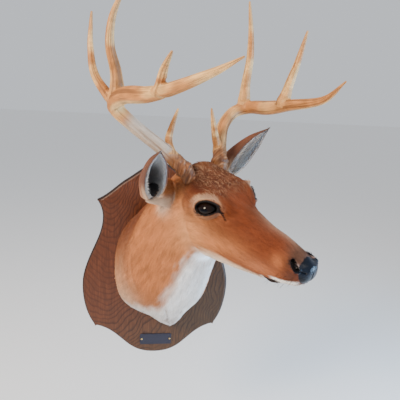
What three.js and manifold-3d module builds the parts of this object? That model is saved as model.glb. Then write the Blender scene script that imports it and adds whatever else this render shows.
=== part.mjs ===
// Whitetail buck shoulder mount on an oak shield, life size, in millimetres, +Z up.
//
// The origin is on the back face of the shield, at its widest level: the wall is the plane y = 0,
// x runs to the right for someone facing the wall, and the deer looks out towards -y.
// The body is one surface swept from the nose to the wall. Thin cuts part it into nose pad,
// head, lower jaw, neck and chest. The surface is the coat's outer envelope, to the hair tips.
import * as THREE from "three";
import { mergeVertices } from "three/addons/utils/BufferGeometryUtils.js";
import Module from "manifold-3d";

const wasm = await Module();
wasm.setup();

// ---------------------------------------------------------------- driving dimensions
const GAP = 0.3;                        // clearance between pieces that touch
const BOARD_THICK = 18;
const HEAD_AT = [117, -285, 195];       // head frame: level with the eye's front corner
const HEAD_TURN = [8, 5.4, -57];        // roll, nod, turn in degrees; x forward, y deer's left
const EYE = { at: [-12, 44, 71], radius: 15.5 };
const EAR_THICK = 5;
const ANTLER_SIDES = 9;
const TINE_SIDES = 7;
const RING = 30;                        // points round the body
const PLATE = { width: 76.2, height: 28, thick: 1.2, z: -143, x: 2.5, pin: 34 };

// Stations of the head, in the head frame, nose to nape. top and bottom are [forward, up];
// half is the half width, mid the height of the widest level (0 bottom, 1 top), upper and
// lower the exponents of the section, and pinch how far each half draws in.
const HEAD_STATIONS = [
  { top: [168, 30], bottom: [168, 17], half: 9, mid: 0.5, upper: 2, lower: 2, pinch: [0, 0] },
  { top: [161.5, 38], bottom: [162, 3], half: 18.5, mid: 0.5, upper: 2.1, lower: 2.1, pinch: [0, 0] },
  { top: [153, 43], bottom: [153, -9], half: 25, mid: 0.48, upper: 2.1, lower: 2.1, pinch: [0.05, 0.08] },
  { top: [140, 49], bottom: [140, -16], half: 28.5, mid: 0.46, upper: 2, lower: 2.1, pinch: [0.12, 0.16] },
  { top: [116, 58], bottom: [116, -22], half: 29.5, mid: 0.46, upper: 1.95, lower: 2.1, pinch: [0.2, 0.24] },
  { top: [90, 66], bottom: [90, -28], half: 32, mid: 0.47, upper: 1.9, lower: 2.1, pinch: [0.24, 0.3] },
  { top: [62, 76], bottom: [62, -34], half: 37, mid: 0.5, upper: 1.9, lower: 2.1, pinch: [0.24, 0.34] },
  { top: [34, 86], bottom: [34, -39], half: 45, mid: 0.58, upper: 2, lower: 2.1, pinch: [0.18, 0.36] },
  { top: [6, 97], bottom: [8, -43], half: 54, mid: 0.7, upper: 2.2, lower: 2, pinch: [0.1, 0.34] },
  { top: [-22, 109], bottom: [-16, -46], half: 60, mid: 0.74, upper: 2.3, lower: 2, pinch: [0.04, 0.3] },
  { top: [-52, 119], bottom: [-38, -48], half: 61, mid: 0.68, upper: 2.2, lower: 2, pinch: [0.03, 0.22] },
  { top: [-82, 126], bottom: [-56, -51], half: 60, mid: 0.58, upper: 2.1, lower: 2, pinch: [0.03, 0.12] },
];

// Stations of the neck, in the part's frame, nape to board. half is [deer's right, deer's left].
const BASE_Y = -BOARD_THICK - GAP;
const NECK_STATIONS = [
  { top: [44, -188, 310], bottom: [82.5, -229.5, 128], half: [66, 62], mid: 0.5, upper: 2.1, lower: 2.1 },
  { top: [32, -146, 275], bottom: [74, -209, 82], half: [80, 62], mid: 0.48, upper: 2.1, lower: 2.1 },
  { top: [20, -105, 251], bottom: [56, -179, 20], half: [95, 72], mid: 0.43, upper: 2.1, lower: 2.1 },
  { top: [12, -64, 227], bottom: [46, -136, -29], half: [108, 80], mid: 0.41, upper: 2.1, lower: 1.9 },
  { top: [7, -32, 206], bottom: [41, -81, -74], half: [118, 87], mid: 0.435, upper: 2.1, lower: 1.65 },
  { top: [5, BASE_Y, 199], bottom: [38, BASE_Y, -113], half: [122, 90], mid: 0.5, upper: 2.1, lower: 1.4 },
];
const CUT = { poll: 11.3, shoulder: 13.7 };     // where head, neck and chest part, in stations

// Reliefs over the sweep: a bump (or hollow) of the given height, fading over the given reach
// along the head frame's axes, on both sides of the face.
const RELIEFS = [
  { name: "brow ridge", at: [-12, 54, 89], reach: [17, 14, 7], height: 5 },
  { name: "back of the orbit", at: [-40, 60, 73], reach: [9, 12, 14], height: 3 },
  { name: "eye hollow", at: [-7, 55, 70], reach: [16, 14, 11], height: -9 },
  { name: "tear pit", at: [19, 46, 58], reach: [10, 12, 9], height: -3.5 },
  { name: "cheekbone", at: [0, 54, 40], reach: [28, 14, 8], height: 3.5 },
  { name: "jaw muscle", at: [-30, 48, 0], reach: [26, 18, 22], height: 3 },
  { name: "side of the bridge", at: [70, 30, 44], reach: [28, 12, 12], height: -2.5 },
  { name: "whisker pad", at: [138, 28, 16], reach: [14, 12, 13], height: 2.5 },
  { name: "nostril wing", at: [157, 22, 34], reach: [8, 8, 8], height: 2.5 },
  { name: "dip of the forehead", at: [30, 0, 88], reach: [24, 12, 12], height: -2.5 },
  { name: "flank of the bridge", at: [36, 30, 70], reach: [23, 11, 10], height: -8 },
  { name: "edge of the bridge", at: [82, 19, 63], reach: [24, 11, 9], height: -3.5 },
];

// Antlers, in the head frame. A beam is cut at its forks (0 at the skull, 1 at the beam's tip),
// and each tine is a path of its own that starts inside the beam.
const RIGHT_ANTLER = {
  beam: [[-66, -32, 96], [-76, -41, 120], [-95, -74, 160], [-115, -113, 200], [-125, -138, 232],
    [-98, -137, 249], [-40, -130, 257], [6, -123, 269], [75, -106, 296], [113, -100, 313]],
  forks: [0.4, 0.66],
  tines: [
    { name: "brow", path: [[-86, -62, 146], [-100, -56, 168], [-100, -48, 192], [-93, -40, 220]], thick: 8.5 },
    { name: "g2", path: [[-118, -136, 236], [-123, -133, 280], [-124, -139, 318], [-118, -136, 354],
      [-101, -123, 395]], thick: 10.5 },
    { name: "outer", path: [[-122, -132, 226], [-153, -152, 274], [-167, -149, 316], [-177, -140, 348],
      [-179, -136, 365]], thick: 9 },
    { name: "g3", path: [[-18, -127, 260], [-2, -130, 292], [17, -130, 316]], thick: 8.5 },
  ],
};
const LEFT_ANTLER = {
  beam: [[-66, 32, 96], [-77, 39, 120], [-97, 57, 150], [-114, 82, 176], [-121, 116, 194],
    [-106, 136, 201], [-48, 129, 209], [2, 121, 221], [76, 114, 240], [119, 100, 272]],
  forks: [0.4, 0.66],
  tines: [
    { name: "brow", path: [[-88, 46, 132], [-90, 40, 158], [-92, 35, 190], [-92, 31, 213]], thick: 8.5 },
    { name: "g2", path: [[-117, 134, 196], [-118, 138, 240], [-110, 139, 290], [-106, 135, 334],
      [-102, 124, 384]], thick: 10 },
    { name: "g3", path: [[-12, 122, 218], [-4, 125, 252], [6, 131, 290], [17, 136, 338]], thick: 9.5 },
  ],
};

// Where the chest bulges or draws in round the board: the angle, its reach in degrees, the height
// along the wall, and the stations between which it sets in.
const FLARES = [
  { name: "haunch", phi: 205, reach: 17, height: 9, from: 14.8, full: 16.4 },
  { name: "right of the brisket", phi: 236, reach: 12, height: -6, from: 14.8, full: 16.2 },
  { name: "left of the brisket", phi: 300, reach: 16, height: -17, from: 13.9, full: 15.2 },
];

// ---------------------------------------------------------------- finishes
const finish = (color, roughness, metalness = 0) =>
  new THREE.MeshStandardMaterial({ color, roughness, metalness });
const COLOURS = {
  coat: "#b87a45", neckCoat: "#c9a27a", throat: "#d9cbb8", nose: "#23252b", ear: "#8d6a55",
  eye: "#1b120c", antler: "#b98d5c", oak: "#6d4127", plate: "#3c4558", brass: "#b08d4a",
  steel: "#8f9296",
};

// ---------------------------------------------------------------- small tools
const V = (p) => new THREE.Vector3(...p);
const lerp = THREE.MathUtils.lerp;
const clamp = THREE.MathUtils.clamp;
const radians = THREE.MathUtils.degToRad;

const headMatrix = new THREE.Matrix4().compose(
  V(HEAD_AT),
  new THREE.Quaternion().setFromEuler(new THREE.Euler(...HEAD_TURN.map(radians), "ZYX")),
  new THREE.Vector3(1, 1, 1),
);
const headInverse = headMatrix.clone().invert();
const fromHead = (p) => V(p).applyMatrix4(headMatrix);
const headSide = new THREE.Vector3().setFromMatrixColumn(headMatrix, 1);

/** Uniform Catmull-Rom through rows of numbers, at t from 0 to rows - 1. */
function through(rows, t) {
  const last = rows.length - 1;
  const i = clamp(Math.floor(t), 0, last - 1);
  const f = t - i;
  const row = (k) => rows[clamp(k, 0, last)];
  return row(i).map((p1, k) => {
    const p2 = row(i + 1)[k];
    const p0 = i === 0 ? 2 * p1 - p2 : row(i - 1)[k];
    const p3 = i === last - 1 ? 2 * p2 - p1 : row(i + 2)[k];
    return 0.5 * (2 * p1 + (p2 - p0) * f + (2 * p0 - 5 * p1 + 4 * p2 - p3) * f * f
      + (3 * p1 - p0 - 3 * p2 + p3) * f * f * f);
  });
}

/** Closed mesh from rings of points; the ends are closed by fans or, for a C shape, by strips. */
function loft(rings, { strip = false } = {}) {
  const n = rings[0].length;
  const points = rings.flat();
  const index = [];
  for (let r = 0; r + 1 < rings.length; r++) {
    for (let k = 0; k < n; k++) {
      const a = r * n + k;
      const b = r * n + ((k + 1) % n);
      index.push(a, b, b + n, a, b + n, a + n);
    }
  }
  const cap = (start, flip) => {
    const tri = (a, b, c) => (flip ? index.push(a, c, b) : index.push(a, b, c));
    if (strip) {
      for (let k = 0; k < n / 2 - 1; k++) {
        const [a, b, c, d] = [k, k + 1, n - 2 - k, n - 1 - k].map((q) => start + q);
        tri(a, c, b);
        tri(a, d, c);
      }
      return;
    }
    const centre = new THREE.Vector3();
    for (let k = 0; k < n; k++) centre.addScaledVector(points[start + k], 1 / n);
    const c = points.push(centre) - 1;
    for (let k = 0; k < n; k++) tri(c, start + ((k + 1) % n), start + k);
  };
  cap(0, false);
  cap((rings.length - 1) * n, true);
  const geometry = new THREE.BufferGeometry();
  geometry.setAttribute("position", new THREE.Float32BufferAttribute(points.flatMap((p) => p.toArray()), 3));
  geometry.setIndex(index);
  return volume(geometry) < 0 ? turned(geometry) : geometry;
}

/** Signed volume: positive when the faces point out. */
function volume(geometry) {
  const p = geometry.attributes.position;
  const index = geometry.index.array;
  const [a, b, c] = [0, 0, 0].map(() => new THREE.Vector3());
  let sum = 0;
  for (let i = 0; i < index.length; i += 3) {
    a.fromBufferAttribute(p, index[i]);
    b.fromBufferAttribute(p, index[i + 1]);
    c.fromBufferAttribute(p, index[i + 2]);
    sum += a.dot(b.cross(c)) / 6;
  }
  return sum;
}

function turned(geometry) {
  const index = geometry.index.array;
  for (let i = 0; i < index.length; i += 3) [index[i + 1], index[i + 2]] = [index[i + 2], index[i + 1]];
  return geometry;
}

/** three.js geometry to a manifold solid, for joins and cuts. */
function solid(geometry) {
  const bare = geometry.clone();
  bare.deleteAttribute("normal");
  bare.deleteAttribute("uv");
  const merged = mergeVertices(bare, 1e-4);
  return new wasm.Manifold(new wasm.Mesh({
    numProp: 3,
    vertProperties: new Float32Array(merged.attributes.position.array),
    triVerts: new Uint32Array(merged.index.array),
  }));
}

/** manifold solid back to a three.js geometry; only its largest closed body is kept. */
function geometryOf(manifold) {
  const parts = manifold.decompose();
  const largest = parts.reduce((a, b) => (a.volume() > b.volume() ? a : b));
  const { vertProperties, triVerts } = largest.getMesh();
  const geometry = new THREE.BufferGeometry();
  geometry.setAttribute("position", new THREE.BufferAttribute(vertProperties, 3));
  geometry.setIndex(new THREE.BufferAttribute(triVerts, 1));
  return geometry;
}

// ---------------------------------------------------------------- the body's surface
const toRows = () => {
  const rows = HEAD_STATIONS.map((s) => [
    ...fromHead([s.top[0], 0, s.top[1]]), ...fromHead([s.bottom[0], 0, s.bottom[1]]),
    ...headSide, s.half, s.half, s.mid, s.upper, s.lower, ...s.pinch]);
  NECK_STATIONS.forEach((s, i) => {
    const square = (i + 1) / NECK_STATIONS.length;      // the sections turn square to the board
    const side = headSide.clone().lerp(new THREE.Vector3(1, 0, 0), square).normalize();
    rows.push([...s.top, ...s.bottom, ...side, ...s.half, s.mid, s.upper, s.lower, 0, 0]);
  });
  return rows;
};
const ROWS = toRows();
const LAST_STATION = ROWS.length - 1;

/** Point of the plain sweep at station t and angle phi (0 deer's left, 90 degrees the top). */
function sweepPoint(t, phi) {
  const q = through(ROWS, t);
  const top = V(q.slice(0, 3));
  const bottom = V(q.slice(3, 6));
  const up = top.clone().sub(bottom);
  const height = up.length();
  up.divideScalar(height);
  const side = V(q.slice(6, 9));
  side.addScaledVector(up, -side.dot(up)).normalize();
  const [halfRight, halfLeft, mid, upper, lower, pinchTop, pinchBottom] = q.slice(9);
  const [c, s] = [Math.cos(phi), Math.sin(phi)];
  const [power, pinch] = s > 0 ? [upper, pinchTop] : [lower, pinchBottom];
  const half = c > 0 ? halfLeft : halfRight;
  const across = half * Math.sign(c) * Math.abs(c) ** (2 / power) * (1 - pinch * s * s);
  const rise = Math.abs(s) ** (2 / power);
  const level = s > 0 ? mid + (1 - mid) * rise : mid - mid * rise;
  return bottom.addScaledVector(up, level * height).addScaledVector(side, across);
}

/** Height of all reliefs at a point of the part's frame. */
function relief(point) {
  const p = point.clone().applyMatrix4(headInverse);
  return RELIEFS.reduce((sum, { at, reach, height }) => {
    const d = ((p.x - at[0]) / reach[0]) ** 2 + ((Math.abs(p.y) - at[1]) / reach[1]) ** 2
      + ((p.z - at[2]) / reach[2]) ** 2;
    return sum + height * Math.exp(-d / 2);
  }, 0);
}

/** Height of all flares of the chest at a station and an angle. */
function flare(t, phi) {
  const angle = ((THREE.MathUtils.radToDeg(phi) % 360) + 360) % 360;
  return FLARES.reduce((sum, { phi: at, reach, height, from, full }) =>
    sum + height * Math.exp(-(((angle - at) / reach) ** 2)) * THREE.MathUtils.smoothstep(t, from, full), 0);
}

/** Point of the finished surface: the sweep, its reliefs and flares, and an offset along the normal. */
function bodyPoint(t, phi, offset = 0) {
  const p = sweepPoint(t, phi);
  const step = 0.02;
  const inner = clamp(t, step, LAST_STATION - step);
  const along = sweepPoint(inner + step, phi).sub(sweepPoint(inner - step, phi));
  const round = sweepPoint(inner, phi + step).sub(sweepPoint(inner, phi - step));
  const normal = along.cross(round).normalize();
  const lift = relief(p) + offset;
  const outward = normal.clone().setY(0).normalize();
  return p.addScaledVector(normal, lift).addScaledVector(outward, flare(t, phi));
}

const steps = (from, to, count) => Array.from({ length: count + 1 }, (_, i) => lerp(from, to, i / count));

/** Stations between two others, evenly spaced by length but closer where stations crowd. */
function spread(from, to, count) {
  const CROWDING = 14;
  const fine = steps(from, to, 240);
  const middle = (t) => sweepPoint(t, 0).add(sweepPoint(t, Math.PI)).multiplyScalar(0.5);
  const measure = fine.map(() => 0);
  for (let i = 1; i < fine.length; i++) {
    const length = middle(fine[i]).distanceTo(middle(fine[i - 1]));
    measure[i] = measure[i - 1] + length + CROWDING * (fine[i] - fine[i - 1]);
  }
  return steps(0, measure.at(-1), count).map((m) => {
    const i = Math.min(measure.findIndex((v) => v >= m - 1e-9), fine.length - 1);
    return i <= 0 ? from : lerp(fine[i - 1], fine[i], (m - measure[i - 1]) / (measure[i] - measure[i - 1]));
  });
}

/** Closed length of the body through the given stations. */
function bodyLength(stations, offset = 0) {
  return loft(stations.map((t) => Array.from({ length: RING },
    (_, k) => bodyPoint(t, (k / RING) * 2 * Math.PI, offset))));
}
const CUT_GAP = 0.004;                  // half the gap at a cut, in stations
const HEAD_ROWS = spread(0, CUT.poll - CUT_GAP, 29);
const NECK_ROWS = spread(CUT.poll + CUT_GAP, CUT.shoulder - CUT_GAP, 7);
const CHEST_ROWS = spread(CUT.shoulder + CUT_GAP, LAST_STATION, 9);

// ---------------------------------------------------------------- nodes
const group = new THREE.Group();
function node(name, geometry, material) {
  const mesh = new THREE.Mesh(geometry, material);
  mesh.name = name;
  group.add(mesh);
  return mesh;
}

/** Box in the head frame from one corner to another, as a solid. */
function headBox(low, high) {
  const size = high.map((v, i) => v - low[i]);
  const box = new THREE.BoxGeometry(...size);
  box.translate(...low.map((v, i) => v + size[i] / 2));
  return solid(box.applyMatrix4(headMatrix));
}

// Head, nose pad and lower jaw: one length of the sweep, parted by two cuts.
const eyeBall = (side, radius) => {
  const ball = new THREE.SphereGeometry(radius, 14, 9);
  return ball.translate(...fromHead([EYE.at[0], side * EYE.at[1], EYE.at[2]]));
};
const wholeHead = solid(bodyLength(HEAD_ROWS));
const MOUTH = [[190, -1], [150, -1], [98, -6], [40, -16], [-20, -26]];  // forward, up

/** Solid under the line of the mouth: a prism across the head, its top following the lips. */
function underMouth(rise) {
  const shape = new THREE.Shape();
  shape.moveTo(190, -60);
  MOUTH.forEach(([x, z]) => shape.lineTo(x, z + rise));
  shape.lineTo(-20, -60);
  const prism = new THREE.ExtrudeGeometry(shape, { depth: 160, bevelEnabled: false });
  prism.rotateX(Math.PI / 2).translate(0, 80, 0);
  return solid(prism.applyMatrix4(headMatrix));
}
const nosePad = headBox([151, -60, 12], [200, 60, 60]);
const noseCut = headBox([151 - GAP, -60, 12 - GAP], [200, 60, 60]);
const jawCut = underMouth(GAP);
const eyeRoom = [-1, 1].map((side) => solid(eyeBall(side, EYE.radius + GAP)));
const headSolid = wholeHead.subtract(noseCut).subtract(jawCut)
  .subtract(eyeRoom[0]).subtract(eyeRoom[1]);

node("head", geometryOf(headSolid), finish(COLOURS.coat, 0.85));
node("nose_pad", geometryOf(wholeHead.intersect(nosePad)), finish(COLOURS.nose, 0.35));
node("lower_jaw", geometryOf(wholeHead.intersect(underMouth(0))), finish(COLOURS.throat, 0.85));
node("eye_right", eyeBall(-1, EYE.radius), finish(COLOURS.eye, 0.08));
node("eye_left", eyeBall(1, EYE.radius), finish(COLOURS.eye, 0.08));
node("neck", bodyLength(NECK_ROWS), finish(COLOURS.neckCoat, 0.9));
node("chest", bodyLength(CHEST_ROWS), finish(COLOURS.throat, 0.9));

// Everything that grows from the body is cut back to its surface, a gap away from it.
const bodyRoom = solid(bodyLength([...HEAD_ROWS, ...NECK_ROWS, ...CHEST_ROWS], GAP));

// ---------------------------------------------------------------- ears
// A cupped leaf about a bent axis. At each level a C-shaped arc stands round the axis and opens
// forward, up and out. Its radius swells and then runs to a point, and the C opens wider towards
// the tip. A solid butt carries the cup on the side of the skull and closes its floor.
const EAR = {
  root: [-104, 46, 72],
  base: [-113, 86, 84],
  tip: { right: [-23, 125, 178], left: [-48, 132, 171] },
  facing: [0.72, 0.31, 0.62],
  bend: 12.6,                           // how far the axis bows back, away from the opening
  radii: [18, 20.8, 24, 21.9, 15.9, 1.5],               // at s = -0.25, 0, 0.25 ... 1
  cup: [150, 150, 132, 114, 100, 87],                   // half angle of the C at the same places
  foot: -0.12,                          // where the shell starts, inside the butt
  butt: [[0, 0], [26, 0], [24, 0.4], [19, 0.9], [17.5, 1], [12, 1.25], [0, 1.34]],
  rows: 10,
  across: 7,
};
function ear(side, tip) {
  const mirror = ([x, y, z]) => fromHead([x, side * y, z]);
  const facing = new THREE.Vector3(EAR.facing[0], side * EAR.facing[1], EAR.facing[2])
    .transformDirection(headMatrix);
  const [base, end] = [mirror(EAR.base), mirror(tip)];
  const bend = base.clone().lerp(end, 0.5).addScaledVector(facing, -EAR.bend);
  const axis = new THREE.QuadraticBezierCurve3(base, bend, end);
  const at = (list, s) => through(list.map((v) => [v]), (s + 0.25) * 4)[0];
  const rings = steps(EAR.foot, 1, EAR.rows).map((s) => {
    const centre = axis.getPoint(s);
    const along = axis.getTangent(clamp(s, 0, 1));
    const open = facing.clone().addScaledVector(along, -facing.dot(along)).normalize();
    const across = along.clone().cross(open);
    const outer = at(EAR.radii, s);
    const inner = outer - Math.min(EAR_THICK * (1 - 0.5 * s), 0.8 * outer);
    const half = radians(at(EAR.cup, s));
    const arc = (rho, a) => centre.clone().addScaledVector(open, -rho * Math.cos(a))
      .addScaledVector(across, rho * Math.sin(a));
    const angles = steps(-half, half, EAR.across);
    return [...angles.map((a) => arc(outer, a)), ...angles.reverse().map((a) => arc(inner, a))];
  });
  const root = mirror(EAR.root);
  const foot = axis.getPoint(EAR.foot);
  const reach = foot.clone().sub(root);
  const profile = EAR.butt.map(([radius, share]) => new THREE.Vector2(radius, share * reach.length()));
  const butt = new THREE.LatheGeometry(profile, 14);
  butt.applyQuaternion(new THREE.Quaternion().setFromUnitVectors(
    new THREE.Vector3(0, 1, 0), reach.normalize())).translate(...root);
  return solid(loft(rings, { strip: true })).add(solid(butt)).subtract(bodyRoom);
}
node("ear_right", geometryOf(ear(-1, EAR.tip.right)), finish(COLOURS.ear, 0.9));
node("ear_left", geometryOf(ear(1, EAR.tip.left)), finish(COLOURS.ear, 0.9));

// ---------------------------------------------------------------- antlers
/** Rings of a round tube along a path of head-frame points, at stations from 0 to 1. */
function tubeRings(path, radiusAt, sides, stations, offset = 0) {
  const curve = new THREE.CatmullRomCurve3(path.map(fromHead), false, "centripetal");
  let normal = new THREE.Vector3(0, 0, 1);
  return stations.map((s) => {
    const centre = curve.getPointAt(s);
    const along = curve.getTangentAt(s);
    normal = normal.clone().addScaledVector(along, -normal.dot(along)).normalize();
    const other = along.clone().cross(normal);
    const radius = radiusAt(s) + offset;
    return Array.from({ length: sides }, (_, k) => {
      const a = (k / sides) * 2 * Math.PI;
      return centre.clone().addScaledVector(normal, radius * Math.cos(a))
        .addScaledVector(other, radius * Math.sin(a));
    });
  });
}

/** Beam radius: a burr just above the skull, nearly even to the last fork, then a long taper. */
const BEAM_RADII = [12.5, 12.5, 11.2, 11, 12, 12.4, 10, 8, 5.2, 1.2];
const BURR = { at: 0.0667, reach: 0.013, height: 7 };
const beamRadius = (s) => {
  const burr = BURR.height * Math.exp(-(((s - BURR.at) / BURR.reach) ** 2));
  const [body] = through(BEAM_RADII.map((r) => [r]), s * (BEAM_RADII.length - 1));
  return body + burr;
};
/** Tine radius: flared where it leaves the beam, then drawn out to a blunt point. */
const tineRadius = (thick) => (s) => thick * (0.16 + 0.84 * (1 - s) ** 0.75) + 2.5 * Math.exp(-s * 14);

const BEAM_STEPS = [17, 7, 8];         // rings in the base, the middle and the end of a beam
const TINE_STEPS = 8;
const FORK_GAP = 0.0006;                // half the gap at a fork, as a share of the beam

function antler(side, { beam, forks, tines }) {
  const horn = finish(COLOURS.antler, 0.5);
  const ends = [0, ...forks, 1];
  const lengths = BEAM_STEPS.map((count, i) =>
    steps(ends[i] + (i > 0 ? FORK_GAP : 0), ends[i + 1] - (i < 2 ? FORK_GAP : 0), count));
  const beamRings = (offset) => tubeRings(beam, beamRadius, ANTLER_SIDES, lengths.flat(), offset);
  const rings = beamRings(0);
  const room = solid(loft(beamRings(GAP)));
  ["base", "beam", "beam_end"].forEach((name, i) => {
    const piece = loft(rings.splice(0, lengths[i].length));
    const cut = i === 0 ? geometryOf(solid(piece).subtract(bodyRoom)) : piece;
    node(`antler_${side}_${name}`, cut, horn);
  });
  const taken = [];
  tines.forEach(({ name, path, thick }) => {
    const tine = (offset) => solid(loft(
      tubeRings(path, tineRadius(thick), TINE_SIDES, steps(0, 1, TINE_STEPS), offset)));
    const piece = taken.reduce((left, other) => left.subtract(other), tine(0).subtract(room));
    taken.push(tine(GAP));
    node(`antler_${side}_${name}`, geometryOf(piece), horn);
  });
}
antler("right", RIGHT_ANTLER);
antler("left", LEFT_ANTLER);

// ---------------------------------------------------------------- shield board
// Right half of the outline, from the bottom of the shield up to its peak, mirrored to the left.
const HALF_OUTLINE = [
  [[0, -180], [48, -180], [64, -157], [88, -136]],
  [[88, -136], [104, -121], [122, -109], [143, -105.5]],
  [[143, -105.5], [161, -81], [171.5, -45], [171.5, -2]],
  [[171.5, -2], [171.5, 60], [124, 110], [124.7, 164]],
  [[124.7, 164], [125, 180], [130, 193], [137, 203]],
  [[137, 203], [112, 214], [92, 238], [73, 250]],
  [[73, 250], [50, 265], [22, 290], [0, 294]],
];
const OUTLINE_STEPS = 4;
const EDGE = { round: 7, steps: 2 };    // routed round edge of the board's face
const HANGER = { z: 150, width: 46, height: 20, thick: 2, pocket: 6 };
const SCREWS = { z: [70, -20], x: [36, 24], head: 4.5, room: 5.5, depth: 5, sunk: 1.5 };

/** The shield's outline as points (x, z), anticlockwise from the bottom. */
function shieldOutline() {
  const half = HALF_OUTLINE.flatMap((ends) => {
    const curve = new THREE.CubicBezierCurve(...ends.map(([x, z]) => new THREE.Vector2(x, z)));
    return curve.getPoints(OUTLINE_STEPS).slice(0, -1);
  });
  const peak = new THREE.Vector2(...HALF_OUTLINE.at(-1).at(-1));
  const left = half.slice(1).reverse().map((p) => new THREE.Vector2(-p.x, p.y));
  return [...half, peak, ...left];
}

/** The board: its outline stands square on the wall, then rounds over to the face. */
function shieldBoard() {
  const outline = shieldOutline();
  const ringAt = (y, inset) => outline.map((p, i) => {
    const before = outline.at(i - 1);
    const after = outline[(i + 1) % outline.length];
    const out = new THREE.Vector2(after.y - before.y, before.x - after.x).normalize();
    return new THREE.Vector3(p.x - out.x * inset, y, p.y - out.y * inset);
  });
  const rings = [ringAt(0, 0)];
  for (let k = 0; k <= EDGE.steps; k++) {
    const a = (k / EDGE.steps) * (Math.PI / 2);
    rings.push(ringAt(EDGE.round * (1 - Math.sin(a)) - BOARD_THICK, EDGE.round * (1 - Math.cos(a))));
  }
  return solid(loft(rings));
}
const box = (w, d, h, x, y, z) => new THREE.BoxGeometry(w, d, h).translate(x, y, z);
const disc = (radius, y0, y1, x, z, sides = 12) =>
  new THREE.CylinderGeometry(radius, radius, y1 - y0, sides).translate(x, (y0 + y1) / 2, z);
const screwAt = SCREWS.z.flatMap((z, i) => [-SCREWS.x[i], SCREWS.x[i]].map((x) => [x, z]));

let board = shieldBoard();
const pocket = box(HANGER.width, HANGER.pocket + 1, HANGER.height, 0, (1 - HANGER.pocket) / 2, HANGER.z);
board = board.subtract(solid(pocket));
screwAt.forEach(([x, z]) => {
  board = board.subtract(solid(disc(SCREWS.room, -SCREWS.depth, 1, x, z)));
});
node("shield_board", geometryOf(board), finish(COLOURS.oak, 0.45));

// Hanger: a steel bar with a keyhole, let into a pocket; screw heads sunk in their bores.
const bar = solid(box(HANGER.width - 2 * GAP, HANGER.thick, HANGER.height - 2 * GAP,
  0, -GAP - HANGER.thick / 2, HANGER.z));
const KEYHOLE = { slot: 3.5, eye: 5.5, drop: 4, rise: 5 };
const keyhole = solid(box(2 * KEYHOLE.slot, 20, KEYHOLE.drop + KEYHOLE.rise,
  0, 0, HANGER.z + (KEYHOLE.rise - KEYHOLE.drop) / 2))
  .add(solid(disc(KEYHOLE.eye, -10, 10, 0, HANGER.z - KEYHOLE.drop)));
node("hanger_plate", geometryOf(bar.subtract(keyhole)), finish(COLOURS.steel, 0.4, 0.8));
screwAt.forEach(([x, z], i) => {
  const head = disc(SCREWS.head, -SCREWS.depth, -SCREWS.sunk, x, z);
  node(`board_screw_${i + 1}`, head, finish(COLOURS.steel, 0.45, 0.8));
});

// Name plate: a bare strip, its ends pinned to the board.
const FACE = -BOARD_THICK;
node("name_plate", box(PLATE.width, PLATE.thick, PLATE.height,
  PLATE.x, FACE - PLATE.thick / 2, PLATE.z), finish(COLOURS.plate, 0.4, 0.6));
const PIN_PROFILE = [[0, 0], [2.2, 0], [1.9, 0.7], [1.1, 1.2], [0, 1.35]];      // radius, height
[-1, 1].forEach((side) => {
  const dome = new THREE.LatheGeometry(PIN_PROFILE.map(([r, h]) => new THREE.Vector2(r, h)), 10);
  dome.rotateX(Math.PI).translate(PLATE.x + side * PLATE.pin, FACE - PLATE.thick, PLATE.z);
  node(`plate_pin_${side < 0 ? "left" : "right"}`, dome, finish(COLOURS.brass, 0.35, 0.9));
});

export default group;
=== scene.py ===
# %% [markdown]
# # A whitetail shoulder mount
#
# This lesson dresses the solids of a deer shoulder mount: a skin with a coat of hair tufts,
# glass eyes, antlers, an oak shield and its name plate. The solids are loaded first and never
# change, so every surface below is worked out in the same frame: metres, with the wall at
# y = 0, z up, and the deer looking out towards -y.

import bpy
import numpy as np
from mathutils import Matrix


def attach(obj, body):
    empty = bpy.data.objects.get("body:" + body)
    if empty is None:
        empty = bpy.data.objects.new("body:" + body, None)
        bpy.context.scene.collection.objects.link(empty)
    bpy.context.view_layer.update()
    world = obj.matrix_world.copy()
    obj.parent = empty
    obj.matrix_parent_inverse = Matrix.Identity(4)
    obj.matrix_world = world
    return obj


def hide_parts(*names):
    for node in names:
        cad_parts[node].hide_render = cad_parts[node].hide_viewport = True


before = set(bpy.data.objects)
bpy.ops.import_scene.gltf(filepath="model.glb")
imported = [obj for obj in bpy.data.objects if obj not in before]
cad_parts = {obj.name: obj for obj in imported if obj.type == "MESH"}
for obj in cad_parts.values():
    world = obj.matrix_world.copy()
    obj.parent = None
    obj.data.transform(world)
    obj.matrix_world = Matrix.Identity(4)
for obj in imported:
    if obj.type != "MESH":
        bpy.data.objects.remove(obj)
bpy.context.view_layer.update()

MM = 0.001                      # the lesson's numbers are in millimetres, Blender's in metres

# %% [markdown]
# ## The camera
#
# The mount hangs a little below eye level and to the right, so the camera stands to its left,
# looks slightly down and is rolled a few degrees, as if held by hand. The view is built
# from three unit vectors: forward, right and up.

# %% Camera
def camera_axes(yaw, pitch, roll):
    """Forward turned by yaw and tipped down by pitch; right and up turned about it by roll."""
    forward = np.array([np.sin(yaw) * np.cos(pitch), np.cos(yaw) * np.cos(pitch), -np.sin(pitch)])
    level = np.array([np.cos(yaw), -np.sin(yaw), 0.0])
    rise = np.cross(level, forward)
    right = np.cos(roll) * level + np.sin(roll) * rise
    up = np.cos(roll) * rise - np.sin(roll) * level
    return forward, right, up


CAMERA_AT = np.array([-36, -976, 426])
CAMERA_TURN = [7.8, 12.7, 2.9]                  # yaw, pitch and roll in degrees
SENSOR_WIDTH, FOCAL, WIDTH = 36, 430, 400       # mm; focal length and frame width in pixels

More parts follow.
